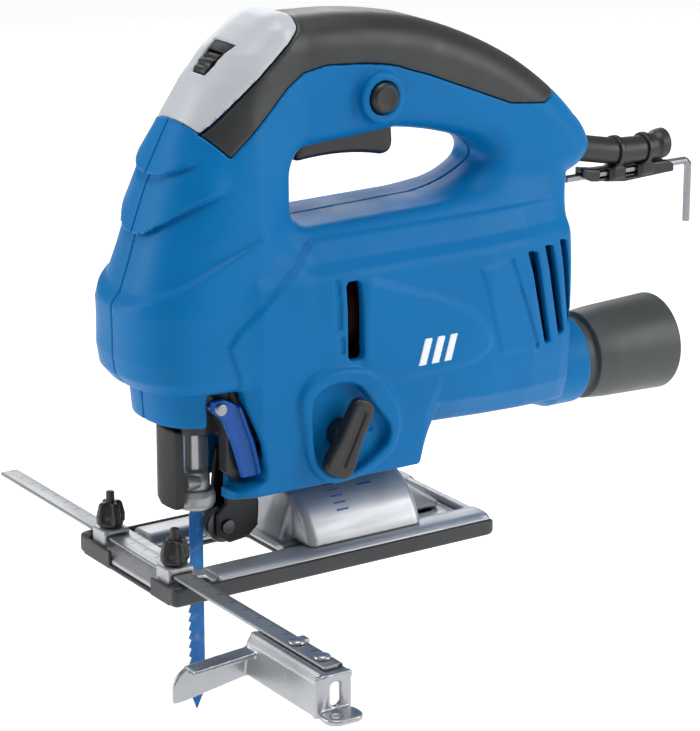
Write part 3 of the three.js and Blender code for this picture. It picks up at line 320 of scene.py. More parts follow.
def blade_paint():
    f = Finish("blade_paint", 0.36, 0.0)
    worn = f.range(f.noise(160, 6), 0, 1, 0.55, 0.75)
    base = f.mix(f.range(f.noise(50, 4), 0, 1), srgb(0, 84, 150), srgb(10, 108, 180))
    f.colour(f.mix(f.range(worn, 0, 0.35, 0, 1), base, srgb(150, 170, 190)))
    f.rough(f.range(f.noise(120, 4), 0.28, 0.45))
    f.bump(f.noise(700, 3), 0.00003, 0.4)
    f.set(Coat_Weight=0.08, Coat_Roughness=0.2, Specular_IOR_Level=0.3)
    return f


def clear_plastic():
    f = Finish("clear_plastic", 0.06)
    f.colour(f.mix(f.range(f.noise(60, 3), 0, 1), (0.93, 0.96, 0.98, 1), (0.99, 1, 1, 1)))
    f.rough(f.range(f.noise(240, 4), 0.03, 0.1))
    f.bump(f.noise(40, 2), 0.00001, 0.15)
    # painted highlight: the guard grows more opaque at grazing angles, so its pale colour shows as bright
    # edges
    rim = f.node("ShaderNodeLayerWeight", Blend=0.45).outputs["Facing"]
    f.join(f.range(f.math("POWER", rim, 9.0), 0.02, 0.3, 0.0, 1.0), f.shader.inputs["Alpha"])
    return f


make_looks()


def wear(obj, look):
    obj.data.materials.clear()
    obj.data.materials.append(looks[look].material)
    return obj


def settle(obj, body, slot, look, *nodes):
    """Gives a finished piece its material and its body and hides the CAD nodes it stands for; slot is not
    used.
    """
    wear(obj, look)
    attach(obj, body)
    if nodes:
        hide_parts(*nodes)
    return obj


# ---------------------------------------------------------------- solids from distance fields, in mm
def blend_min(a, b, k):
    h = np.maximum(k - np.abs(a - b), 0) / k
    return np.minimum(a, b) - h * h * k / 4


def blend_max(a, b, k):
    return -blend_min(-a, -b, k)


def carve(solid, tool, k=0.0):
    return blend_max(solid, -tool, k) if k else np.maximum(solid, -tool)


def step_up(value, start, end):
    t = np.clip((value - start) / (end - start), 0, 1)
    return t * t * (3 - 2 * t)


def polygon(points, u, v):
    """Signed distance from (u, v) to a closed polygon, negative inside."""
    best = np.full(np.broadcast(u, v).shape, 1e9, np.float32)
    inside = np.zeros(best.shape, bool)
    count = len(points)
    for i in range(count):
        au, av = points[i]
        bu, bv = points[(i + 1) % count]
        eu, ev = bu - au, bv - av
        wu, wv = u - au, v - av
        t = np.clip((wu * eu + wv * ev) / (eu * eu + ev * ev + 1e-12), 0, 1)
        best = np.minimum(best, (wu - eu * t) ** 2 + (wv - ev * t) ** 2)
        crosses = (av > v) != (bv > v)
        at = au + (v - av) * eu / (ev if ev else 1e-12)
        inside ^= crosses & (u < at)
    distance = np.sqrt(best)
    return np.where(inside, -distance, distance)


def curve_points(start, *parts, steps=8):
    """Corner points of a path; a part of two points is a quadratic arc (control, end)."""
    points = [start]
    for part in parts:
        if len(part) == 2 and isinstance(part[0], tuple):
            (cu, cv), (eu, ev) = part
            su, sv = points[-1]
            for i in range(1, steps + 1):
                t = i / steps
                a, b, c = (1 - t) ** 2, 2 * t * (1 - t), t * t
                points.append((a * su + b * cu + c * eu, a * sv + b * cv + c * ev))
        else:
            points.append(part)
    return points


class Grid:
    """Sample points of a box, as three broadcasting arrays."""

    def __init__(self, x, y, z, step):
        self.step = step
        self.low = np.array([x[0], y[0], z[0]], float)
        spans = [np.arange(lo, hi + step, step, dtype=np.float32) for lo, hi in (x, y, z)]
        self.x = spans[0][:, None, None]
        self.y = spans[1][None, :, None]
        self.z = spans[2][None, None, :]
        self.shape = tuple(len(s) for s in spans)

    def flat(self, points):
        """Polygon distance in X and Z, the same at every Y."""
        return polygon(points, self.x[:, 0], self.z[0])[:, None, :]


CORNERS = [(i, j, k) for i in (0, 1) for j in (0, 1) for k in (0, 1)]


def surface_nets(field, low, step):
    """Vertices and quads of the surface where the field changes sign."""
    inside = field < 0
    nx, ny, nz = field.shape

    def corner(a, c):
        return a[c[0]:nx - 1 + c[0], c[1]:ny - 1 + c[1], c[2]:nz - 1 + c[2]]

    count = sum(corner(inside, c).astype(np.int8) for c in CORNERS)
    active = (count > 0) & (count < 8)
    cells = np.argwhere(active)
    ids = np.full(active.shape, -1, np.int64)
    ids[active] = np.arange(len(cells))
    total = np.zeros((len(cells), 3))
    hits = np.zeros(len(cells))
    for a in CORNERS:
        for axis in range(3):
            if a[axis]:
                continue
            b = tuple(1 if i == axis else a[i] for i in range(3))
            fa = corner(field, a)[active].astype(float)
            fb = corner(field, b)[active].astype(float)
            cross = (fa < 0) != (fb < 0)
            t = np.where(cross, fa / np.where(cross, fa - fb, 1), 0)
            at = np.array(a, float) + t[:, None] * (np.array(b, float) - np.array(a, float))
            total[cross] += at[cross]
            hits[cross] += 1
    points = low + step * (cells + total / hits[:, None])
    quads = []
    for axis in range(3):
        u, v = (axis + 1) % 3, (axis + 2) % 3
        first = [slice(None)] * 3
        second = [slice(None)] * 3
        first[axis], second[axis] = slice(0, -1), slice(1, None)
        for other in (u, v):
            first[other] = second[other] = slice(1, -1)
        a, b = inside[tuple(first)], inside[tuple(second)]
        at = np.argwhere(a != b)
        at[:, u] += 1
        at[:, v] += 1
        eu, ev = np.eye(3, dtype=int)[u], np.eye(3, dtype=int)[v]
        around = [at, at - eu, at - eu - ev, at - ev]
        quad = np.stack([ids[tuple(c.T)] for c in around], 1)
        keep_order = a[tuple((at - eu - ev).T)]
        quad[~keep_order] = quad[~keep_order][:, ::-1]
        quads.append(quad)
    return points, np.concatenate(quads)


def mesh_object(name, points, quads, smooth=True):
    data = bpy.data.meshes.new(name)
    data.vertices.add(len(points))
    data.vertices.foreach_set("co", (np.asarray(points) * MM).astype(np.float32).ravel())
    data.loops.add(len(quads) * 4)
    data.loops.foreach_set("vertex_index", quads.astype(np.int32).ravel())
    data.polygons.add(len(quads))
    data.polygons.foreach_set("loop_start", np.arange(0, len(quads) * 4, 4, dtype=np.int32))
    data.update(calc_edges=True)
    data.validate()
    if smooth:
        data.shade_smooth()
    return placed(name, data)


def relaxed(points, quads, rounds):
    """Evens the net: each vertex moves part of the way to the mean of its neighbours."""
    edges = np.concatenate([quads[:, [i, (i + 1) % 4]] for i in range(4)])
    both = np.concatenate([edges, edges[:, ::-1]])
    for share in rounds:
        total = np.zeros_like(points)
        for axis in range(3):
            total[:, axis] = np.bincount(both[:, 0], points[both[:, 1], axis], len(points))
        degree = np.bincount(both[:, 0], minlength=len(points))
        points = points + share * (total / degree[:, None] - points)
    return points


def solid(name, grid, field, rounds=(0.5, -0.52)):
    field = np.broadcast_to(field, grid.shape).astype(np.float32)
    points, quads = surface_nets(field, grid.low, grid.step)
    return mesh_object(name, relaxed(points, quads, rounds), quads)


def fine(step):
    return step


# ---------------------------------------------------------------- shapes and places, in mm
SHOE_FLOOR = 2.1
SOLE_LOW = 2.4
FOOT_Z = 4.9  # underside of the bracket, just over the sole plate's floor
SEAT_Z = 9.3  # top of the ramp and of the side guide's deck, just under the ruler bar
DRUM_R = 31.5
BEVEL_SCREW_X = 18
TUBE_Z = 59
AXLE_Z = 105.4
SLEEVE_Z = 155.5
THUMB_Y = 27
BAR_X = -71.5
RIVET_Y = {"far": -120, "near": -138}
PLUNGER_X = -46
ROLLER_AT = (-34.1, 0, 16.5)
KEY_Z = 140.9
BEZEL_Y = -38.3
SLEEVE_LINE = (
    (130, 139, 150, 158, 166, 175, 184, 192, 200, 206),
    (157, 156.2, 154.6, 153, 151.4, 150.1, 149.6, 150, 151, 152),
)
RECESS = [
    (-54.2, 39), (-40, 39), (-31, 43.4), (-30.2, 46.6), (-33.4, 60.6), (-40, 78.4), (-41, 83), (-54.2, 83),
]
LEVER_LINE = [
    (-53.3, 80), (-48, 80.4), (-41, 77), (-34.5, 60), (-31.4, 46.6), (-33.6, 44.6), (-39.5, 45),
    (-44, 60), (-48.5, 71), (-53.3, 75.5),
]
VENTS = (
    [(7.4, 91), (8.6, 89.2), (13.6, 89.2), (14.8, 91), (14.2, 121), (13, 122.6), (8.2, 122.6), (7, 121)],
    [(101.2, 121.5), (106.6, 120.5), (115.2, 79), (112, 78.6)],
    [(111.6, 122.2), (116.4, 121.4), (124.2, 81.6), (120.6, 80.6)],
    [(121.2, 123), (125.4, 122.2), (130.2, 85.4), (127.4, 84)],
)
GROOVES = (
    [(2.2, 103.5), (4, 103.5), (3.4, 124.4), (1.6, 124.4)],
    [(3.6, 93), (5.2, 93), (5, 100), (3.4, 100)],
    [(90.2, 120), (92, 119.6), (107.6, 78.6), (106, 78)],
)
SWOOSH = curve_points(
    (12, 90), (13, 117), ((14, 126), (23, 122.8)), (46, 114.2), ((63, 109), (71, 102.5)),
    ((80, 95), (82, 86)), ((80, 77), (64, 76)), (36, 75), ((14, 76), (12, 90)),
)
STRIP = [(73.6, 119), (84.8, 79), (108, 76), (92, 121)]
WINDOW = [(-48, 215.5), (-34.5, 202), (-22.5, 214), (-36, 228)]
HANDLE_ROOM = [
    (-42, 182), (-52, 188), (-36, 206), (-20, 214), (0, 221), (20, 221), (55, 215), (81, 206),
    (104, 191), (124, 174), (132, 163), (126, 136), (104, 136), (100, 166), (88, 176),
    (66, 186), (46, 187), (-4, 186), (-12, 170), (-40, 170),
]
NOSE_REAR = -7
HEEL_Z, BELLY_Z = 34.5, 50
HANDLE_HALF, HANDLE_ROUND = 19, 13.5
SKIN, GAP = 3.0, 0.3
NOSE_Z = (68, 82, 85, 90, 98, 118, 140, 150, 171, 192, 206, 218, 227, 232.5)
NOSE_FRONT = (-69.5, -70.5, -78, -82, -83, -81.8, -74, -71, -64, -54.8, -45.6, -33.8, -20, -10)
NOSE_HALF = (28, 29, 32.4, 34.6, 35, 34.3, 31, 29.4, 26.4, 23.8, 22.2, 20.2, 17, 10)
SECTION_X = (-43, -34, 0, 46, 54, 80, 104, 122, 131)
SECTION_HALF = (31, 35, 36.2, 36.2, 36.2, 35.8, 33.3, 29.3, 25.8)
TRUNK_SIDE = [
    (-43, 34.5), (48.2, 34.5), (52.5, 50.3), (104, 48), (131, 46.5), (131, 146), (-43, 146),
]
HANDLE_LINE = curve_points(
    (-32, 124), (124, 118), (132, 136), (136, 146.5),
    ((148, 150), (149.3, 160)), ((147, 168), (141, 173.5)), ((129, 188), (108, 201.5)),
    ((84, 216), (56, 224)), ((32, 229.5), (8, 229.5)), ((-4, 230.2), (-14, 228)), (-32, 213),
)
LOOP_LINE = curve_points(
    (-1, 146), ((-6.5, 146.5), (-6.5, 153)), (-6.5, 165), ((-6, 171.5), (1, 173.5)), (46, 176.4),
    ((66, 174), (84, 167)), ((96, 161), (87, 156.5)), ((76, 150), (61, 148)),
)
GRIP_ZONE = [
    (-50.5, 187.7), (-4, 225.5), (3, 245), (150, 245), (150, 203), (129, 185), (119, 181.5),
    (101, 183.5), (58, 200.7), (50, 203.2), (43, 205.8), (38, 207), (27, 208.6), (8, 210),
    (-3, 208), (-11.5, 203), (-23.5, 192.5), (-41, 178.5),
]
PANEL_ZONE = [(-75, 197), (-56, 193.6), (-50.9, 188.2), (-4.3, 226), (2.5, 245), (-75, 245)]
SEAM = [(-51.4, 188), (-50, 187.2), (-3.4, 225.2), (3.8, 245), (1.8, 245), (-4.9, 226.3)]
LOCK_AT = (33, 194.5)
WHEEL_AT = (-30, 204.5)
LEVER_AT = (-50, 76.6)
# half widths of the guard, its inside, the opening it lifts into, and the snout
GUARD_OUT, GUARD_IN, GUARD_ROOM, SNOUT_HALF = 21, 19.6, 24, 18.4
KNOB_AT = (4, 58.5)
BEZEL_LINE = curve_points(
    (-15, 60), (-17, 74), ((-17, 83), (-8, 86)), ((4, 89), (16, 84.5)), ((31, 76), (33, 60)),
    ((33, 50), (26, 44)), ((14, 37), (0, 37.5)), ((-14, 42), (-15, 60)),
)
POCKET_LINE = curve_points(
    (-11, 58), (-11.5, 70), ((-11.5, 77.5), (-5, 80)), ((4, 83), (12, 78)), (26, 60.5),
    ((29, 55), (25, 50)), ((12, 39.5), (1, 41)), ((-10, 44), (-11, 58)),
)
SCREW_AT = ((-8, 44), (40, 44), (117, 132), (-22, 150), (107, 170))
RIB_A = ((-70, -67, -63, -58, -50), (169.5, 170.5, 173.3, 176.8, 179.5))
RIB_B = ((-74, -70, -64, -58, -52, -40), (146.5, 152, 157.7, 161.7, 164.2, 168))
RIB_C = ((-84, -77, -64, -55, -46, -34, -22), (119, 123.4, 129.3, 133.6, 137.4, 141.6, 146))
FOLD = [
    (-4, 140), (-12.3, 132.6), (-24.6, 124.3), (-34.4, 116.3), (-44.1, 108.7), (-48.5, 103.5),
    (-43, 88), (-43, 60),
]


def shingle(g, line, proud, run, fade_from, fade_to):
    """A lip that overhangs the surface under it and melts away upwards and rearwards."""
    edge = np.interp(g.x, *line).astype(np.float32)
    above = g.z - edge
    lip = step_up(above, -1.2, 1.2) * np.exp(-np.maximum(above, 0) / run)
    crease = step_up(above, -4.0, -1.4) * (1 - step_up(above, -1.4, 0.6))
    return (proud * lip - 0.7 * crease) * (1 - step_up(g.x, fade_from, fade_to))


def nose_field(g):
    front = np.interp(g.z, NOSE_Z, NOSE_FRONT)
    half = np.interp(g.z, NOSE_Z, NOSE_HALF)
    reach = np.minimum(34, (NOSE_REAR - front) * 0.86)
    pinch = step_up(g.z, 128, 152) * step_up(g.x, -31, -4)
    wide = half - pinch * np.maximum(half - 17.5, 0)
    side = np.abs(g.y) / wide
    ahead = np.clip(1 - (g.x - front) / reach, 0, None)
    value = side ** 2.5 + ahead ** 2.667 - 1
    slope = np.sqrt((2.5 * side ** 1.5 / wide) ** 2 + (2.667 * ahead ** 1.667 / reach) ** 2)
    d = value / np.maximum(slope, 0.012)
    d = blend_max(d, 68 - g.z, 1.5)
    d = blend_max(d, g.z - 232, 5)
    return blend_max(d, g.x - (NOSE_REAR + 0.5), 10)


def trunk_half(g):
    """Half width of the trunk at each X and Z."""
    x = g.x[:, 0, 0]
    z = g.z[0, 0]
    out = np.zeros((len(x), len(z)), np.float32)
    foot_z = np.interp(x, (46, 54, 104, 131), (HEEL_Z, BELLY_Z, 47.5, 46.5))
    wide = np.interp(x, SECTION_X, SECTION_HALF)
    for i, (low, w) in enumerate(zip(foot_z, wide)):
        heel = (BELLY_Z - low) / (BELLY_Z - HEEL_Z)
        foot = w * (0.62 + 0.18 * max(0, heel))
        levels = (low, low + 2, low + 13, low + 26, 112, 124.5, 127, 131, 140, 146)
        halves = (foot, foot + 3.4, w * 0.955, w, w, w * 0.965, w * 0.93, w * 0.83, w * 0.72, w * 0.62)
        out[i] = np.interp(z, levels, halves)
    return out[:, None, :]


def trunk_field(g):
    side = np.abs(g.y) - trunk_half(g)
    return blend_max(side, g.flat(TRUNK_SIDE), 4.5)


def relief(g):
    """How far the ribs of the nose and the shaped fields of the trunk stand proud of the plain skin."""
    nose = shingle(g, RIB_A, 2.0, 16, -60, -50) + shingle(g, RIB_B, 2.4, 20, -54, -40)
    drop = np.interp(g.x, *RIB_C) + 3 - g.z
    bulge = step_up(drop, 0, 2.6) * np.exp(-np.maximum(drop - 3, 0) / 16)
    nose = nose + 2.1 * bulge * (1 - step_up(g.x, -36, -20))
    ahead = step_up(g.flat([*FOLD, (150, 60), (150, 140)]), -0.8, 0.9)
    side = -1.5 * ahead * step_up(g.z, 60, 90) * (1 - step_up(g.z, 138, 148)) * step_up(g.x, -78, -46)
    side = side + 1.1 * step_up(-g.flat(SWOOSH), -0.2, 4.5) + 0.8 * step_up(-g.flat(STRIP), -0.2, 2.2)
    return nose + side * step_up(np.abs(g.y), 18, 26)


def round_corner(a, b, r):
    """Joins two distances, both already r too large, with a round edge of radius r."""
    return np.minimum(np.maximum(a, b), 0) + np.hypot(np.maximum(a, 0), np.maximum(b, 0)) - r


def handle_field(g):
    flat = np.maximum(g.flat(HANDLE_LINE), -g.flat(LOOP_LINE))
    return round_corner(flat + HANDLE_ROUND, np.abs(g.y) - (HANDLE_HALF - HANDLE_ROUND), HANDLE_ROUND)


def between(value, low, high):
    return np.maximum(low - value, value - high)


def block(g, x0, x1, y0, y1, z0, z1, k=0.0):
    """Box, with its edges rounded where k is given."""
    sides = (between(g.x, x0, x1), between(g.y, y0, y1), between(g.z, z0, z1))
    if not k:
        return np.maximum(np.maximum(sides[0], sides[1]), sides[2])
    return blend_max(blend_max(sides[0], sides[1], k), sides[2], k)


def off_x(g, z):
    """Distance from the line along X at Y = 0 and height z."""
    return np.hypot(g.y, g.z - z)


def off_y(g, at):
    """Distance from the line along Y through (X, Z) = at."""
    return np.hypot(g.x - at[0], g.z - at[1])


def off_z(g, x, y=0):
    """Distance from the upright line through (x, y)."""
    return np.hypot(g.x - x, g.y - y)


def bar_y(g, at, radius, y0, y1, k=0.8):
    """Round bar along Y through (X, Z) = at."""
    return blend_max(off_y(g, at) - radius, between(g.y, y0, y1), k)


def bar_z(g, at, radius, z0, z1, k=0.8):
    """Round bar along Z through (X, Y) = at."""
    return blend_max(off_z(g, *at) - radius, between(g.z, z0, z1), k)


def plate(g, points, y0, y1, k=0.8):
    """Outline in X and Z pushed along Y, with rounded edges."""
    return blend_max(g.flat(points), between(g.y, y0, y1), k)


def guard_wall(g, r):
    """Distance to a deep half round plan of half width r, open to the rear."""
    front = -41.5 - r
    ahead = np.maximum(-47 - g.x, 0) / (-47 - front)
    value = np.hypot(ahead, np.abs(g.y) / r) - 1
    return value * r * 0.95


def body_field(g):
    d = blend_min(nose_field(g), trunk_field(g), 3.0)
    d = blend_min(d, handle_field(g), 7.0)
    return carve(d, g.flat(LOOP_LINE) - 0.2, 6)


def vent_tools(g, y0, y1):
    """Deep slots: one upright at the front and three leaning at the rear."""
    flat = np.minimum.reduce([g.flat(points) for points in VENTS])
    return np.maximum(flat, between(g.y, y0, y1))


def bosses_and_wells(g, d, body):
    """Lock boss, knob bezel with its pocket, and the lever recess of the left half."""
    d = blend_min(d, bar_y(g, LOCK_AT, 10.6, -23.6, -12, 1.6), 2.5)
    bezel = np.maximum(blend_max(g.flat(BEZEL_LINE), BEZEL_Y - g.y, 2.6), g.y + 25)
    d = blend_min(d, bezel, 1.8)
    d = carve(d, np.maximum(g.flat(POCKET_LINE), g.y + 33), 1.2)
    d = carve(d, bar_y(g, (19.5, 57.5), 1.7, -45, -31.8), 0.5)
    d = np.maximum(d, -bar_y(g, KNOB_AT, 4.8, -45, -10))
    d = np.maximum(d, -bar_y(g, LOCK_AT, 7.1, -30, -10, 0.3))
    d = carve(d, np.maximum(g.flat(RECESS), g.y + 14.6), 1.2)
    return np.maximum(d, -block(g, -60, -39, -16, -8, 33, 70))


def rear_web(g):
    """Rib along the middle behind the motor, open round the shaft and its bearing."""
    axle = off_x(g, AXLE_Z)
    open_round = np.where(g.x < 108.5, 9.8, np.where(g.x < 113.5, 3.4, 0))
    return np.maximum(block(g, 96, 129, -1.7, 1.7, 72, 130), open_round - axle)


def housing_half(side):
    """One clamshell half. side is -1 for the knob side and 1 for the screw side."""
    y = (-40.5, 0.9) if side < 0 else (-0.9, 38.5)
    g = Grid((-85.5, 148), y, (32.5, 235), fine(0.75))
    plain = body_field(g)
    body = plain - relief(g)
    inner = plain + SKIN
    zones = np.minimum.reduce([g.flat(GRIP_ZONE), g.flat(PANEL_ZONE), g.flat(SEAM)])
    skin = np.maximum(zones - 0.1, -(inner + GAP))
    if side < 0:
        skin = np.maximum(skin, 10.3 - off_y(g, LOCK_AT))
    low_room = np.maximum(inner + 1.2, block(g, -90, 126, -50, 50, 53, 178))
    handle_room = np.maximum(g.flat(HANDLE_ROOM), np.maximum(np.abs(g.y) - 12.5, inner + 2.4))
    shanks = np.minimum.reduce([off_y(g, at) for at in SCREW_AT])
    room = np.maximum(np.minimum(low_room, handle_room), 5.6 - shanks)
    d = np.maximum(np.maximum(body, -skin), -room)
    d = np.minimum(d, rear_web(g))
    deep = (-45, -12) if side < 0 else (12, 45)
    d = carve(d, vent_tools(g, *deep), 1.0)
    grooves = np.minimum.reduce([g.flat(points) for points in GROOVES])
    d = carve(d, np.maximum(grooves - 0.2, -(body + 1.1)), 0.8)
    if side < 0:
        d = bosses_and_wells(g, d, body)
    else:
        d = carve(d, np.maximum(shanks - 3.9, 11.2 - g.y), 0.7)
    d = np.maximum(d, -np.maximum(shanks - 2, np.abs(g.y - 1.5) - 10.5))
    taper = np.interp(g.x, (106, 132), (11, 20.2))
    collar = blend_max(off_x(g, TUBE_Z) - taper, between(g.x, 106, 146.5), 1.6)
    d = blend_min(d, collar, 2.0)
    for tool in (
        block(g, -3, 49, -9.8, 9.8, 164, 190),
        np.maximum(off_y(g, WHEEL_AT) - 14.1, np.abs(g.y) - 6.6),
        np.maximum(guard_wall(g, GUARD_ROOM), block(g, -67, -39.7, -25, 25, 57, 84)),
        block(g, -60, -16, -10.5, 10.5, HEEL_Z - 3, 60),
        np.maximum(off_x(g, TUBE_Z) - 16.4, 120 - g.x),
        np.maximum(off_x(g, SLEEVE_Z) - 6.2, 120 - g.x),
    ):
        d = carve(d, tool, 0.6)
    d = np.maximum(d, g.y + 0.15 if side < 0 else 0.15 - g.y)
    return g, d


def cap_skin(zone, proud):
    """A piece of the handle's outer skin inside one zone."""
    g = Grid((-60, 134), (-27, 27), (175, 235), fine(0.75))
    body = body_field(g)
    d = np.maximum(-(body + SKIN), blend_max(g.flat(zone) + 0.2, body - proud, 0.8))
    return g, d


def soft_grip():
    g, d = cap_skin(GRIP_ZONE, 0.0)
    boss = np.maximum(off_y(g, LOCK_AT) - 10.8, g.y + 8)
    return g, np.maximum(d, -boss)


def top_panel():
    g, d = cap_skin(PANEL_ZONE, 0.45)
    return g, carve(d, window_field(g), 0.9)


def window_field(g):
    """Opening over the speed wheel, narrow at the front and wide at the rear."""
    half = np.interp(g.x, (-42, -28), (4.8, 8.2))
    return np.maximum(np.abs(g.y + 1) - half, g.flat(WINDOW))


def wheel_well():
    """Black lining of the slot that the speed wheel turns in, and the black plate round it: painted shade in
    the slot.
    """
    g = Grid((-46, -14), (-10.5, 9), (190, 226), fine(0.5))
    body = body_field(g)
    r = off_y(g, WHEEL_AT)
    rim = np.abs(r - 13.6) - 0.45
    sides = np.maximum(between(np.abs(g.y), 5.7, 6.5), r - 14)
    ring = np.minimum(np.maximum(rim, np.abs(g.y) - 6.5), sides)
    cover = np.maximum(np.maximum(window_field(g) + 0.3, body + 0.9), -(body + 2.7))
    cover = np.maximum(cover, -np.maximum(r - 13.6, np.abs(g.y) - 5.9))
    return g, np.minimum(np.maximum(ring, body + 1.2), cover)


def side_mark():
    """Three slanted bars on the left side, a plain mark that stands for nothing."""
    g = Grid((38, 66), (-40, -33), (76, 98), fine(0.4))
    skin = body_field(g) - relief(g)
    bars = np.minimum.reduce([
        g.flat([(x, 82), (x + 3.4, 82), (x + 6.6, 93), (x + 3.2, 93)]) for x in (41.5, 48, 54.5)
    ])
    return g, np.maximum(np.maximum(skin - 0.35, -(skin + 0.6)), bars - 0.2)


def make_housing():
    for side, name in ((-1, "housing_left"), (1, "housing_right")):
        g, field = housing_half(side)
        piece = solid("shell_left" if side < 0 else "shell_right", g, field)
        settle(piece, SAW, "blue_plastic", "blue", name)
    settle(solid("grip_overmould", *soft_grip()), SAW, "grip_rubber", "rubber", "soft_grip")
    settle(solid("panel_cap", *top_panel()), SAW, "grey_plastic", "grey", "top_panel")
    settle(solid("side_mark", *side_mark()), SAW, "grey_plastic", "white")
    # the black wheel well is painted shade in the slot round the speed wheel
    settle(solid("wheel_well", *wheel_well()), SAW, "black_plastic", "black")


make_housing()


# ---------------------------------------------------------------- shoe and bracket
def rounded_plan(g, x0, x1, y0, y1, r):
    """Rounded rectangle in X and Y."""
    return round_corner(between(g.x, x0 + r, x1 - r), between(g.y, y0 + r, y1 - r), r)


def shoe_cover():
    g = Grid((-81, 83), (-41.6, 41.6), (-0.8, 10), fine(0.6))
    plan = rounded_plan(g, -80, 82, -40, 40, 6)
    tray = np.maximum(np.abs(g.y) - 37.4, SHOE_FLOOR - g.z)
    d = carve(blend_max(plan, between(g.z, 0, 7), 1.6), tray, 1.0)
    for side in (-1, 1):
        cap = rounded_plan(g, -80, -61, 34 if side > 0 else -40.8, 40.8 if side > 0 else -34, 3)
        d = np.minimum(d, blend_max(cap, between(g.z, 0, 9), 2.4))
    lips = np.minimum(between(g.y, -36, -21), between(g.y, 14, 36))
    lip = blend_max(np.maximum(lips, between(g.x, -80, -78.4)), between(g.z, 0, 8), 0.9)
    d = np.minimum(d, lip)
    slot = rounded_plan(g, -60, -12, -17, 17, 4)
    screw = off_z(g, BEVEL_SCREW_X) - 6.4
    return g, carve(d, np.minimum(slot, screw), 0.8)


def sole_plate():
    g = Grid((-80, 83), (-38.5, 38.5), (1.4, 15), fine(0.6))
    across = np.abs(g.y)
    rail = blend_max(between(across, 19.5, 37.1), g.z - 8.2, 6.0)
    floor = np.maximum(across - 37.1, g.z - 4.6)
    length = blend_max(blend_min(rail, floor, 1.2), between(g.x, -56, 81), 1.5)
    wedge = [(-79, SOLE_LOW), (-79, 4), (-72, SEAT_Z), (-61, SEAT_Z), (-55, 4.6), (-55, SOLE_LOW)]
    ramp = plate(g, wedge, -33.7, 33.7)
    room = np.maximum(g.x + 78.1, np.minimum(g.y + 20.7, 13.7 - g.y))
    ramp = np.maximum(ramp, -room)
    bead = bar_y(g, (78, 5.4), 2.6, -35.1, 35.1)
    d = np.minimum(blend_min(length, ramp, 1.0), bead)
    for y in (THUMB_Y, -THUMB_Y):
        bridge = block(g, -77.75, -65.25, y - 5.5, y + 5.5, 3.4, 13.8, 1.4)
        way = block(g, -76.05, -66.95, y - 7, y + 7, SEAT_Z, 11.5)
        hole = np.maximum(off_z(g, BAR_X, y) - 2.8, 10.5 - g.z)
        d = np.minimum(d, carve(np.maximum(bridge, -way), hole, 0.4))
    d = np.maximum(d, SOLE_LOW - g.z)
    slot = rounded_plan(g, -59.4, -12.6, -16.4, 16.4, 4)
    screw = off_z(g, BEVEL_SCREW_X) - 3.4
    sight = rounded_plan(g, 54, 70, -10, 10, 5)
    return g, carve(d, np.minimum(np.minimum(slot, screw), sight), 0.8)


def bevel_bracket():
    g = Grid((-16.5, 73.5), (-32.5, 32.5), (4, 33), fine(0.6))
    r = off_x(g, 0)
    drum = blend_max(r - DRUM_R, between(g.x, -8, 49), 4.0)
    hollow = blend_max(r - 29.1, between(g.x, -5.6, 46.6), 3.0)
    arch = np.maximum(np.maximum(drum, -hollow), 8.5 - g.z)
    front = plate(g, [(-15, FOOT_Z), (-13.5, 7.9), (-7, 27), (-5, 27), (-5, FOOT_Z)], -14, 14, 1.6)
    rear = plate(g, [(46, FOOT_Z), (46, 23), (51, 23), (72, 7.9), (72, FOOT_Z)], -9, 9, 1.6)
    base = block(g, -14, 52, -18.4, 18.4, FOOT_Z, 7.5, 0.6)
    boss = bar_z(g, (BEVEL_SCREW_X, 0), 7.5, FOOT_Z, 11.9)
    d = np.minimum(np.minimum(arch, base), boss)
    d = blend_min(blend_min(d, front, 1.5), rear, 1.5)
    return g, np.maximum(d, 3.4 - off_z(g, BEVEL_SCREW_X))


def bevel_scale():
    """Painted tilt marks on the round of the bracket."""
    g = Grid((6, 34), (-32.5, -10), (14, 32), fine(0.3))
    r = off_x(g, 0)
    angle = np.arctan2(g.z + 0 * g.y, -g.y)
    marks = [(np.abs(angle - math.radians(a)) * DRUM_R - 0.4, 9, 15) for a in (40, 46, 52, 58, 64)]
    marks.append((np.abs(angle - math.radians(58)) * DRUM_R - 0.5, 24, 31))
    d = np.minimum.reduce([np.maximum(line, between(g.x, a, b)) + 0 * r for line, a, b in marks])
    return g, np.maximum(d, between(r, DRUM_R - 0.3, DRUM_R + 0.25))


def make_shoe():
    settle(solid("shoe_shell", *shoe_cover()), SHOE, "shoe_plastic", "shoe", "shoe_cover")
    settle(solid("rail_plate", *sole_plate()), SHOE, "bright_steel", "steel", "sole_plate")
    settle(solid("bracket_drum", *bevel_bracket()), SHOE, "bright_steel", "steel", "bevel_bracket")
    settle(solid("tilt_marks", *bevel_scale()), SHOE, "blue_plastic", "mark")


make_shoe()


# ---------------------------------------------------------------- side guide
def rivet_holes(g):
    return np.minimum.reduce([off_z(g, BAR_X, y) for y in RIVET_Y.values()]) - 2.3


def fence_bar():
    g = Grid((-76.6, -66.4), (-147, 122.5), (8.8, 12), fine(0.4))
    bar = block(g, -75.75, -67.25, -146, 121.5, 9.6, 11.2, 0.5)
    return g, np.maximum(bar, -rivet_holes(g))


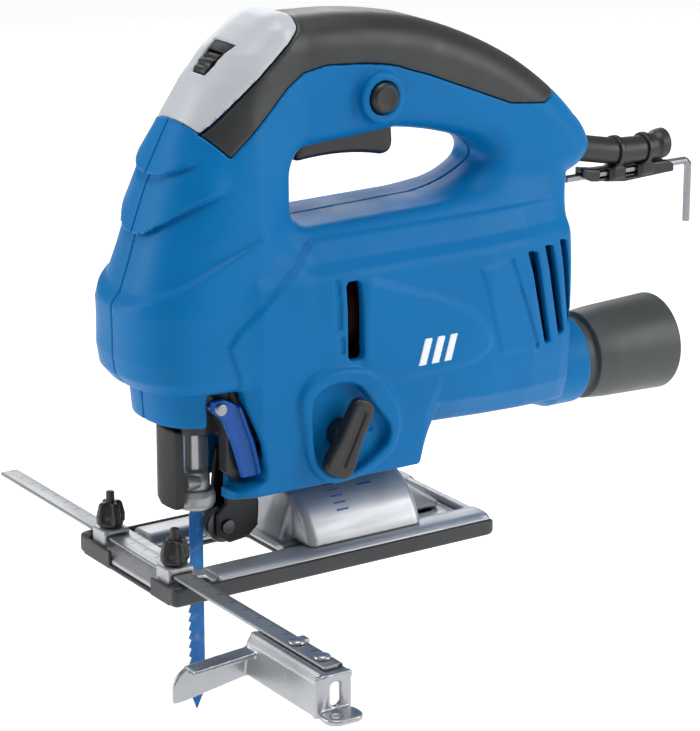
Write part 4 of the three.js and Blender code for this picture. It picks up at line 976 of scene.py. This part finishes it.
def fence_plate():
    g = Grid((-115, -61), (-162, -96), (-13, 10.3), fine(0.5))
    deck = block(g, -78, -66, -150, -97, 7.3, SEAT_Z, 0.7)
    tab = block(g, -67, -62, -115, -110, 7.3, SEAT_Z, 0.7)
    skirt = plate(g, [(-78, SEAT_Z), (-76, SEAT_Z), (-80, -7), (-82, -7), (-80.5, 5.8)], -150, -97)
    rise = curve_points((-78, 4), (-107.5, 2), ((-113.5, 0), (-114, -6)), (-114, -12), (-110, -12), (-78, -7))
    wall = plate(g, rise, -99, -97)
    fold = plate(g, [(-78, 4), (-78, 2), (-108, 0), (-108, 2)], -105, -97, 0.7)
    end = block(g, -82, -66, -150, -148, -7, SEAT_Z, 0.7)
    foot = blend_max(rounded_plan(g, -82, -66, -161, -149, 5), between(g.z, -7, -4.6), 0.7)
    d = np.minimum.reduce([deck, tab])
    for piece in (skirt, wall, fold, end, foot):
        d = blend_min(d, piece + 0 * d, 0.9)
    hole = np.hypot(g.x + 77, g.y + 156) - 1.8
    slot_a = between(g.x, -73.5, -73)
    slot_b = between(g.z, -1.5, 4)
    slot = np.hypot(np.maximum(slot_a, 0), np.maximum(slot_b, 0)) - 2.1
    slot = np.maximum(slot, between(g.y, -151, -147))
    rivets = np.maximum(rivet_holes(g), 5 - g.z)
    return g, np.maximum(carve(d, np.minimum(hole, slot), 0.4), -rivets)


def thumb_screw(y):
    """Plastic head with four wings and a waist, on a stud that shows above it."""
    g = Grid((BAR_X - 7, BAR_X + 7), (y - 7, y + 7), (10.9, 30.4), fine(0.35))
    r = off_z(g, BAR_X, y)
    angle = np.arctan2(g.y - y, g.x - BAR_X)
    reach = 4.2 + 2.1 * step_up(np.abs(np.cos(2 * angle)), 0.55, 0.95)
    swell = np.interp(g.z, (14.4, 16, 19, 24.8), (-0.8, 0, 0.1, -1.3))
    head = blend_max(r - reach - swell, between(g.z, 14.5, 24.9), 1.6)
    thread = 0.12 * np.sin(g.z * 2 * math.pi / 0.9)
    stud = blend_max(r - 1.8 - thread, between(g.z, 24, 29.6), 0.8)
    shank = np.maximum(r - 2.3, between(g.z, 11.6, 15))
    flange = blend_max(r - 5.2, between(g.z, 14.4, 16.6), 0.8)
    return g, np.minimum(np.minimum(blend_min(head, flange, 0.8), stud), shank)


def make_guide():
    settle(solid("guide_rule", *fence_bar()), "fence", "bright_steel", "rule", "fence_bar")
    settle(solid("guide_shoe", *fence_plate()), "fence", "chrome_plate", "chrome", "fence_plate")
    for name, y in (("far", THUMB_Y), ("near", -THUMB_Y)):
        piece = solid("wing_screw_" + name, *thumb_screw(y))
        settle(piece, "thumb_" + name, "black_plastic", "black", "thumb_screw_" + name)


make_guide()


# ---------------------------------------------------------------- round pieces
def turned(name, profile, axis, at, sides=72):
    """Closed ring of a profile of (radius, distance along the axis) turned about an axis, in mm."""
    turn = np.linspace(0, 2 * np.pi, sides, endpoint=False)
    r, h = np.array(profile, float).T
    u = r[:, None] * np.cos(turn)
    v = r[:, None] * np.sin(turn)
    w = np.repeat(h[:, None], sides, 1)
    order = {"x": (w, u, v), "y": (v, w, u), "z": (u, v, w)}[axis]
    points = np.stack(order, -1).reshape(-1, 3) + np.array(at, float)
    rows = len(profile)
    i, j = np.meshgrid(np.arange(rows - 1), np.arange(sides), indexing="ij")
    k = (j + 1) % sides
    low, high = i * sides, (i + 1) * sides
    quads = np.stack([low + j, low + k, high + k, high + j], -1).reshape(-1, 4)
    return weld_and_smooth(mesh_object(name, points, quads, smooth=False))


def weld_and_smooth(obj):
    """Welds the seams, faces every side outwards and smooths all but sharp edges."""
    bm = bmesh.new()
    bm.from_mesh(obj.data)
    bmesh.ops.remove_doubles(bm, verts=bm.verts, dist=1e-6)
    bmesh.ops.dissolve_degenerate(bm, edges=bm.edges, dist=1e-7)
    bmesh.ops.recalc_face_normals(bm, faces=bm.faces)
    bm.to_mesh(obj.data)
    bm.free()
    obj.data.shade_smooth()
    obj.data.set_sharp_from_angle(angle=math.radians(32))
    return obj


def rounded_profile(points, radius, steps=4):
    """Rounds each inner corner of an open profile."""
    out = [points[0]]
    for before, here, after in zip(points, points[1:], points[2:]):
        p, q, s = (np.array(v, float) for v in (before, here, after))
        reach = min(radius, np.linalg.norm(p - q) * 0.45, np.linalg.norm(s - q) * 0.45)
        a = q + (p - q) / max(np.linalg.norm(p - q), 1e-9) * reach
        b = q + (s - q) / max(np.linalg.norm(s - q), 1e-9) * reach
        for i in range(steps + 1):
            t = i / steps
            out.append(tuple((1 - t) ** 2 * a + 2 * t * (1 - t) * q + t * t * b))
    out.append(points[-1])
    return out


def round_piece(name, profile, axis, at, radius, body, slot, look, *nodes):
    line = rounded_profile(profile, radius)
    if profile[0] == profile[-1]:
        line = line[:-1] + [line[0]]
    return settle(turned(name, line, axis, at), body, slot, look, *nodes)


def make_round_pieces():
    tube = [
        (16, 146.8), (17.2, 146.8), (17.2, 151.6), (19.8, 152.4), (20.8, 163), (21.7, 188),
        (22, 195.5), (21.2, 196.5), (18.6, 196.5), (17.4, 168), (16, 162), (16, 146.8),
    ]
    at = (0, 0, TUBE_Z)
    round_piece("suction_tube", tube, "x", at, 0.5, "adaptor", "black_plastic", "tube", "dust_adaptor")
    cap = [(0, -13.8), (6.7, -13.8), (6.7, -24.2), (5.4, -25.8), (2.6, -25.4), (0, -25.3)]
    at = (LOCK_AT[0], 0, LOCK_AT[1])
    round_piece("lock_cap", cap, "y", at, 0.8, "lock", "black_plastic", "black", "lock_button")
    for name, y in RIVET_Y.items():
        rivet = [(0, 6), (3.4, 6), (3.4, 7), (2, 7), (2, 11.5), (3.6, 11.5), (3.1, 12.5), (1.6, 13), (0, 13)]
        at = (BAR_X, y, 0)
        node = "fence_rivet_" + name
        round_piece("rivet_" + name, rivet, "z", at, 0.5, "fence", "chrome_plate", "chrome", node)
    roller = [
        (2.3, -4), (8, -4), (8, -1.3), (6.4, -0.5), (6.4, 0.5), (8, 1.3), (8, 4), (2.3, 4), (2.3, -4),
    ]
    round_piece("blade_roller", roller, "y", ROLLER_AT, 0.4, "roller", "screw_steel", "dark", "guide_roller")
    pin = [(0, -7.9), (2.9, -7.9), (2.9, -6.7), (2, -6.7), (2, 7.4), (0, 7.4)]
    round_piece("roller_bolt", pin, "y", ROLLER_AT, 0.3, "arm", "screw_steel", "dark", "roller_pin")
    collar = [
        (3.8, 26), (7.4, 26), (8.6, 28), (8.6, 31.5), (7.6, 34.1), (3.8, 34.1), (3.8, 26),
    ]
    at = (PLUNGER_X, 0, 0)
    round_piece("clamp_ring", collar, "z", at, 0.5, "collar", "bright_steel", "steel", "clamp_collar")
    pin = [(0, -30.2), (2.6, -30.2), (2.6, -22.8), (0, -22.8)]
    round_piece("lever_pin", pin, "y", (LEVER_AT[0], 0, LEVER_AT[1]), 0.7, "lever", "screw_steel", "cast")


make_round_pieces()


# ---------------------------------------------------------------- controls and head
def knob():
    """Bar handle with a fuller lower end, on a short neck in the pocket."""
    g = Grid((-14, 22), (-46.2, -32.8), (38, 79), fine(0.45))
    lean = math.atan2(6.7, 13.5)
    u = (g.x - KNOB_AT[0]) * math.sin(lean) + (g.z - KNOB_AT[1]) * math.cos(lean)
    v = (g.x - KNOB_AT[0]) * math.cos(lean) - (g.z - KNOB_AT[1]) * math.sin(lean)
    half = np.interp(u, (-18, -10, -1, 18), (7.4, 7.0, 5.7, 5.3))
    side = blend_max(np.abs(v) - half, np.abs(u) - 17.2, 5.0)
    bar = blend_max(side, between(g.y, -44.6, -38.9), 1.8)
    ridge = np.hypot(np.maximum(np.abs(u) - 11, 0), v) - 1.5
    bar = carve(bar, np.maximum(ridge, g.y + 43.9), 0.8)
    neck = bar_y(g, KNOB_AT, 6.2, -40, -33.3, 0.4)
    return g, np.minimum(bar, neck)


def trigger_piece():
    g = Grid((-2, 49), (-10, 10), (165.5, 187), fine(0.6))
    side = curve_points(
        (0, 186), (-1, 172), ((-1, 168.6), (2, 168.8)), ((24, 171), (42, 166.6)),
        ((47.5, 166.4), (47.8, 172)), (47, 186),
    )
    d = plate(g, side, -9.2, 9.2, 4.0)
    return g, np.maximum(d, g.z - 185.8)


def lever_piece():
    g = Grid((-56, -30.5), (-31.2, -22), (43.5, 81.5), fine(0.4))
    strap = plate(g, LEVER_LINE, -28.5, -25.5, 1.2)
    edge = [(-42.4, 76.4), (-41, 77), (-34.5, 60), (-31.4, 46.6), (-33.2, 45.8), (-36.6, 60)]
    rim = plate(g, edge, -30.5, -25.5, 1.0)
    pivot = bar_y(g, LEVER_AT, 3, -25.8, -22.8, 0.4)
    return g, blend_min(blend_min(strap, rim, 0.8), pivot, 0.5)


def guard_piece():
    g = Grid((-64, -42.8), (-22.5, 22.5), (23.4, 63.6), fine(0.5))
    outer = guard_wall(g, GUARD_OUT)
    hollow = np.maximum(-guard_wall(g, GUARD_IN), g.x + 43.4)
    shell = np.maximum(np.maximum(outer, between(g.z, 24, 63)), hollow)
    bead = np.hypot(np.maximum(outer - 0.2, 0), np.maximum(between(g.z, 55.6, 56.2), 0)) - 0.9
    shell = np.minimum(shell, np.maximum(bead, hollow))
    trim = g.flat([(-72, 8), (-30, 8), (-30, 46), (-47, 34), (-52, 30.5), (-72, 27.5)])
    near = np.maximum(g.flat([(-54, 20), (-30, 20), (-30, 72), (-51, 72), (-51, 44), (-54, 34)]), g.y + 2)
    return g, carve(carve(shell, trim, 0.5), near, 0.5)


def snout_piece():
    """Front plate of the gear case, ahead of the clamp and behind the guard; its near-black look is painted
    shade.
    """
    g = Grid((-61, -54.4), (-8, 16), (27, 64), fine(0.4))
    d = blend_max(np.maximum(guard_wall(g, SNOUT_HALF), g.x + 54.8), between(g.y, -7, 15), 1.0)
    d = blend_max(d, between(g.z, 28, 63), 1.6)
    return g, d


def arm_piece():
    g = Grid((-40, -17.5), (-7, 7), (7.5, 51), fine(0.45))
    outline = [
        (-39, 12), (-33, 8.6), (-24, 9.5), (-19, 14), (-18.5, 24), (-21, 36), (-21, 47), (-27, 50),
        (-33, 47), (-35, 32), (-34.5, 26.5), (-39, 22),
    ]
    cheeks = blend_max(g.flat(outline), between(np.abs(g.y), 4.4, 6.4), 0.8)
    spine = [
        (-24.6, 9.5), (-24, 9.5), (-19, 14), (-18.5, 24), (-21, 36), (-21, 47), (-25, 47), (-25, 26),
    ]
    back = plate(g, spine, -5, 5)
    d = np.minimum(cheeks, back)
    return g, np.maximum(d, -(off_y(g, ROLLER_AT[::2]) - 2.3))


def plunger_piece():
    """Chrome ram with a flat groove down the front of its lower end."""
    g = Grid((-50.6, -41.4), (-4.6, 4.6), (42, 150.5), fine(0.35))
    bar = bar_z(g, (PLUNGER_X, 0), 4.2, 42.5, 150, 1.0)
    groove = np.maximum(np.maximum(np.abs(g.y) - 0.9, g.x + 48.2), g.z - 62)
    return g, carve(bar, groove, 0.3)


def sleeve_field(g):
    """Distance from the bent centre line of the cable sleeve."""
    line = np.interp(g.x, *SLEEVE_LINE)
    slope = np.gradient(np.interp(g.x[:, 0, 0], *SLEEVE_LINE), g.step)[:, None, None]
    return np.hypot(g.y, (g.z - line) / np.sqrt(1 + slope ** 2))


def sleeve_piece():
    g = Grid((135.5, 200.5), (-7, 7), (142, 162.5), fine(0.5))
    r = sleeve_field(g)
    body = np.maximum(r - 5.9, between(g.x, 138, 199))
    lip = blend_max(r - 6.5, between(g.x, 194.5, 199), 1.2)
    root = blend_max(off_x(g, SLEEVE_Z) - 6.1, between(g.x, 136, 146), 0.8)
    d = blend_min(blend_min(body, lip, 2.0), root, 1.5)
    return g, carve(d, r - 3.1, 0.3)


def clip_piece():
    g = Grid((151, 205), (-8.4, 8.4), (135, 159), fine(0.5))
    side = [
        (152, 145.4), (160, 144), (200, 143.2), (204, 141), (204, 137.4), (176, 136.2), (158, 138.4),
        (152, 141),
    ]
    bar = plate(g, side, -3.2, 3.2, 1.4)
    d = bar
    for x, z in ((172, 150.4), (188, 149.9)):
        grip = np.maximum(np.abs(off_x(g, z) - 6.3) - 0.7, between(g.x, x - 1.4, x + 1.4))
        d = blend_min(d, grip, 0.8)
        lug = block(g, x - 3.4, x + 3.4, -4.2, 4.2, 138.4, 144.2, 1.2)
        d = blend_min(d, lug, 0.8)
    way = off_x(g, KEY_Z) - 2.2
    trough = block(g, 162, 167, -4, -1.6, 138, 143.4, 0.5)
    trough = np.minimum(trough, block(g, 176.5, 183, -4, -1.6, 138, 143.4, 0.5))
    return g, carve(np.maximum(d, -way), trough, 0.4)


def make_small_solids():
    rows = (
        ("turn_bar", knob, "knob", "black_plastic", "black", "pendulum_knob"),
        ("finger_trigger", trigger_piece, "switch_trigger", "black_plastic", "black", "trigger"),
        ("swing_lever", lever_piece, "lever", "lever_plastic", "lever", "release_lever"),
        ("chip_guard", guard_piece, "guard", "clear_plastic", "clear", "clear_guard"),
        # the snout wears the painted shade of the near-black casting copy
        ("case_snout", snout_piece, SAW, "gear_casting", "deep", None),
        ("roller_fork", arm_piece, "arm", "gear_casting", "casting", "roller_arm"),
        ("ram_rod", plunger_piece, "ram", "chrome_plate", "chrome", "plunger"),
        ("bend_sleeve", sleeve_piece, SAW, "sleeve_rubber", "sleeve", "cable_sleeve"),
        ("key_holder", clip_piece, SAW, "black_plastic", "black", "hex_key_clip"),
    )
    for name, maker, body, slot, look, node in rows:
        settle(solid(name, *maker()), body, slot, look, *([node] if node else []))


make_small_solids()


# ---------------------------------------------------------------- pieces taken over from the frame
def softened(node, body, slot, look, width, segments=2):
    """A copy of a CAD piece with its edges rounded; it stands for the node."""
    source = frame["nodes"][node]
    piece = placed(node + "_fine", source.data.copy())
    bm = bmesh.new()
    bm.from_mesh(piece.data)
    bmesh.ops.remove_doubles(bm, verts=bm.verts, dist=2e-6)
    bmesh.ops.dissolve_limit(bm, angle_limit=math.radians(1), verts=bm.verts, edges=bm.edges)
    bm.to_mesh(piece.data)
    bm.free()
    bevel = piece.modifiers.new("round", "BEVEL")
    bevel.width = width * MM
    bevel.segments = segments
    bevel.limit_method = "ANGLE"
    bevel.angle_limit = math.radians(34)
    bevel.use_clamp_overlap = True
    apply_modifiers(piece)
    piece.data.shade_smooth()
    piece.data.set_sharp_from_angle(angle=math.radians(35))
    return settle(piece, body, slot, look, node)


def apply_modifiers(piece):
    bpy.context.view_layer.update()
    graph = bpy.context.evaluated_depsgraph_get()
    data = bpy.data.meshes.new_from_object(piece.evaluated_get(graph))
    piece.modifiers.clear()
    piece.data = data


def make_softened():
    for node, width in EDGE_WIDTH.items():
        body = frame["nodes"][node]["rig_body"]
        slot = SLOT_OF[node]
        softened(node, body, slot, DULLER.get(node, LOOK_OF[slot]), width)


def dress_the_rest():
    """Every CAD piece that still shows gets the finish of its slot."""
    for node, obj in frame["nodes"].items():
        wear(obj, LOOK_OF[SLOT_OF[node]])


LOOK_OF = {
    "shoe_plastic": "shoe", "bright_steel": "steel", "screw_steel": "cast", "chrome_plate": "chrome",
    "blue_plastic": "blue", "grip_rubber": "rubber", "grey_plastic": "grey", "black_plastic": "black",
    "gear_casting": "casting", "alloy_casting": "cast", "bronze": "bronze", "blade_paint": "blade",
    "lever_plastic": "lever", "clear_plastic": "clear", "laminations": "iron", "copper": "copper",
    "carbon": "carbon", "sleeve_rubber": "sleeve",
}
DULLER = {"hex_key": "cast", "blade_clamp": "cast"}
EDGE_WIDTH = {
    "gear_case": 0.5, "blade_clamp": 0.35, "blade": 0.15, "speed_wheel": 0.25, "hex_key": 0.25,
    "bevel_clamp_screw": 0.4, **{f"housing_screw_{i}": 0.3 for i in range(1, 6)}, "dust_duct": 0.3,
    "yoke": 0.4,
}
SLOT_OF = {row["node"]: row["material_slot"] for row in frame["record"]["subparts"]}

make_softened()
dress_the_rest()


# ---------------------------------------------------------------- stage
def make_stage():
    data = bpy.data.meshes.new("floor")
    low = cad_box[0][2] - 0.0005
    half = 12.0
    corners = [(x * half, y * half, low) for x, y in ((-1, -1), (1, -1), (1, 1), (-1, 1))]
    data.from_pydata(corners, [], [(0, 1, 2, 3)])
    floor = placed("floor", data)
    f = Finish("floor_paper", 0.9)
    f.colour(f.mix(f.noise(3, 2), (0.6, 0.6, 0.6, 1), (0.62, 0.62, 0.62, 1)))
    f.set(Emission_Color=(1, 1, 1, 1), Emission_Strength=0.72)
    floor.data.materials.append(f.material)


def soft_box(name, at, target, size, power, tall=None):
    data = bpy.data.lights.new(name, "AREA")
    data.shape = "RECTANGLE"
    data.size = size
    data.size_y = tall or size
    data.energy = power
    lamp = placed(name, data)
    lamp.location = at
    lamp.rotation_euler = (Vector(target) - Vector(at)).to_track_quat("-Z", "Y").to_euler()
    return lamp


def make_light():
    world = bpy.data.worlds.new("studio")
    bpy.context.scene.world = world
    world.use_nodes = True
    world.node_tree.nodes["Background"].inputs["Color"].default_value = (1, 1, 1, 1)
    world.node_tree.nodes["Background"].inputs["Strength"].default_value = 0.3
    middle = (0.03, 0, 0.1)
    soft_box("key_top", (0.05, -0.1, 1.15), middle, 0.7, 6.2)
    soft_box("side_left", (-1.05, 0.65, 0.45), middle, 0.5, 7.5, 1.1)
    soft_box("side_right", (0.95, -0.95, 0.6), middle, 0.6, 8, 0.9)
    soft_box("back_rim", (0.5, 1.1, 0.7), middle, 0.8, 4.5)
    bpy.context.scene.view_settings.view_transform = "Standard"


make_stage()
make_light()
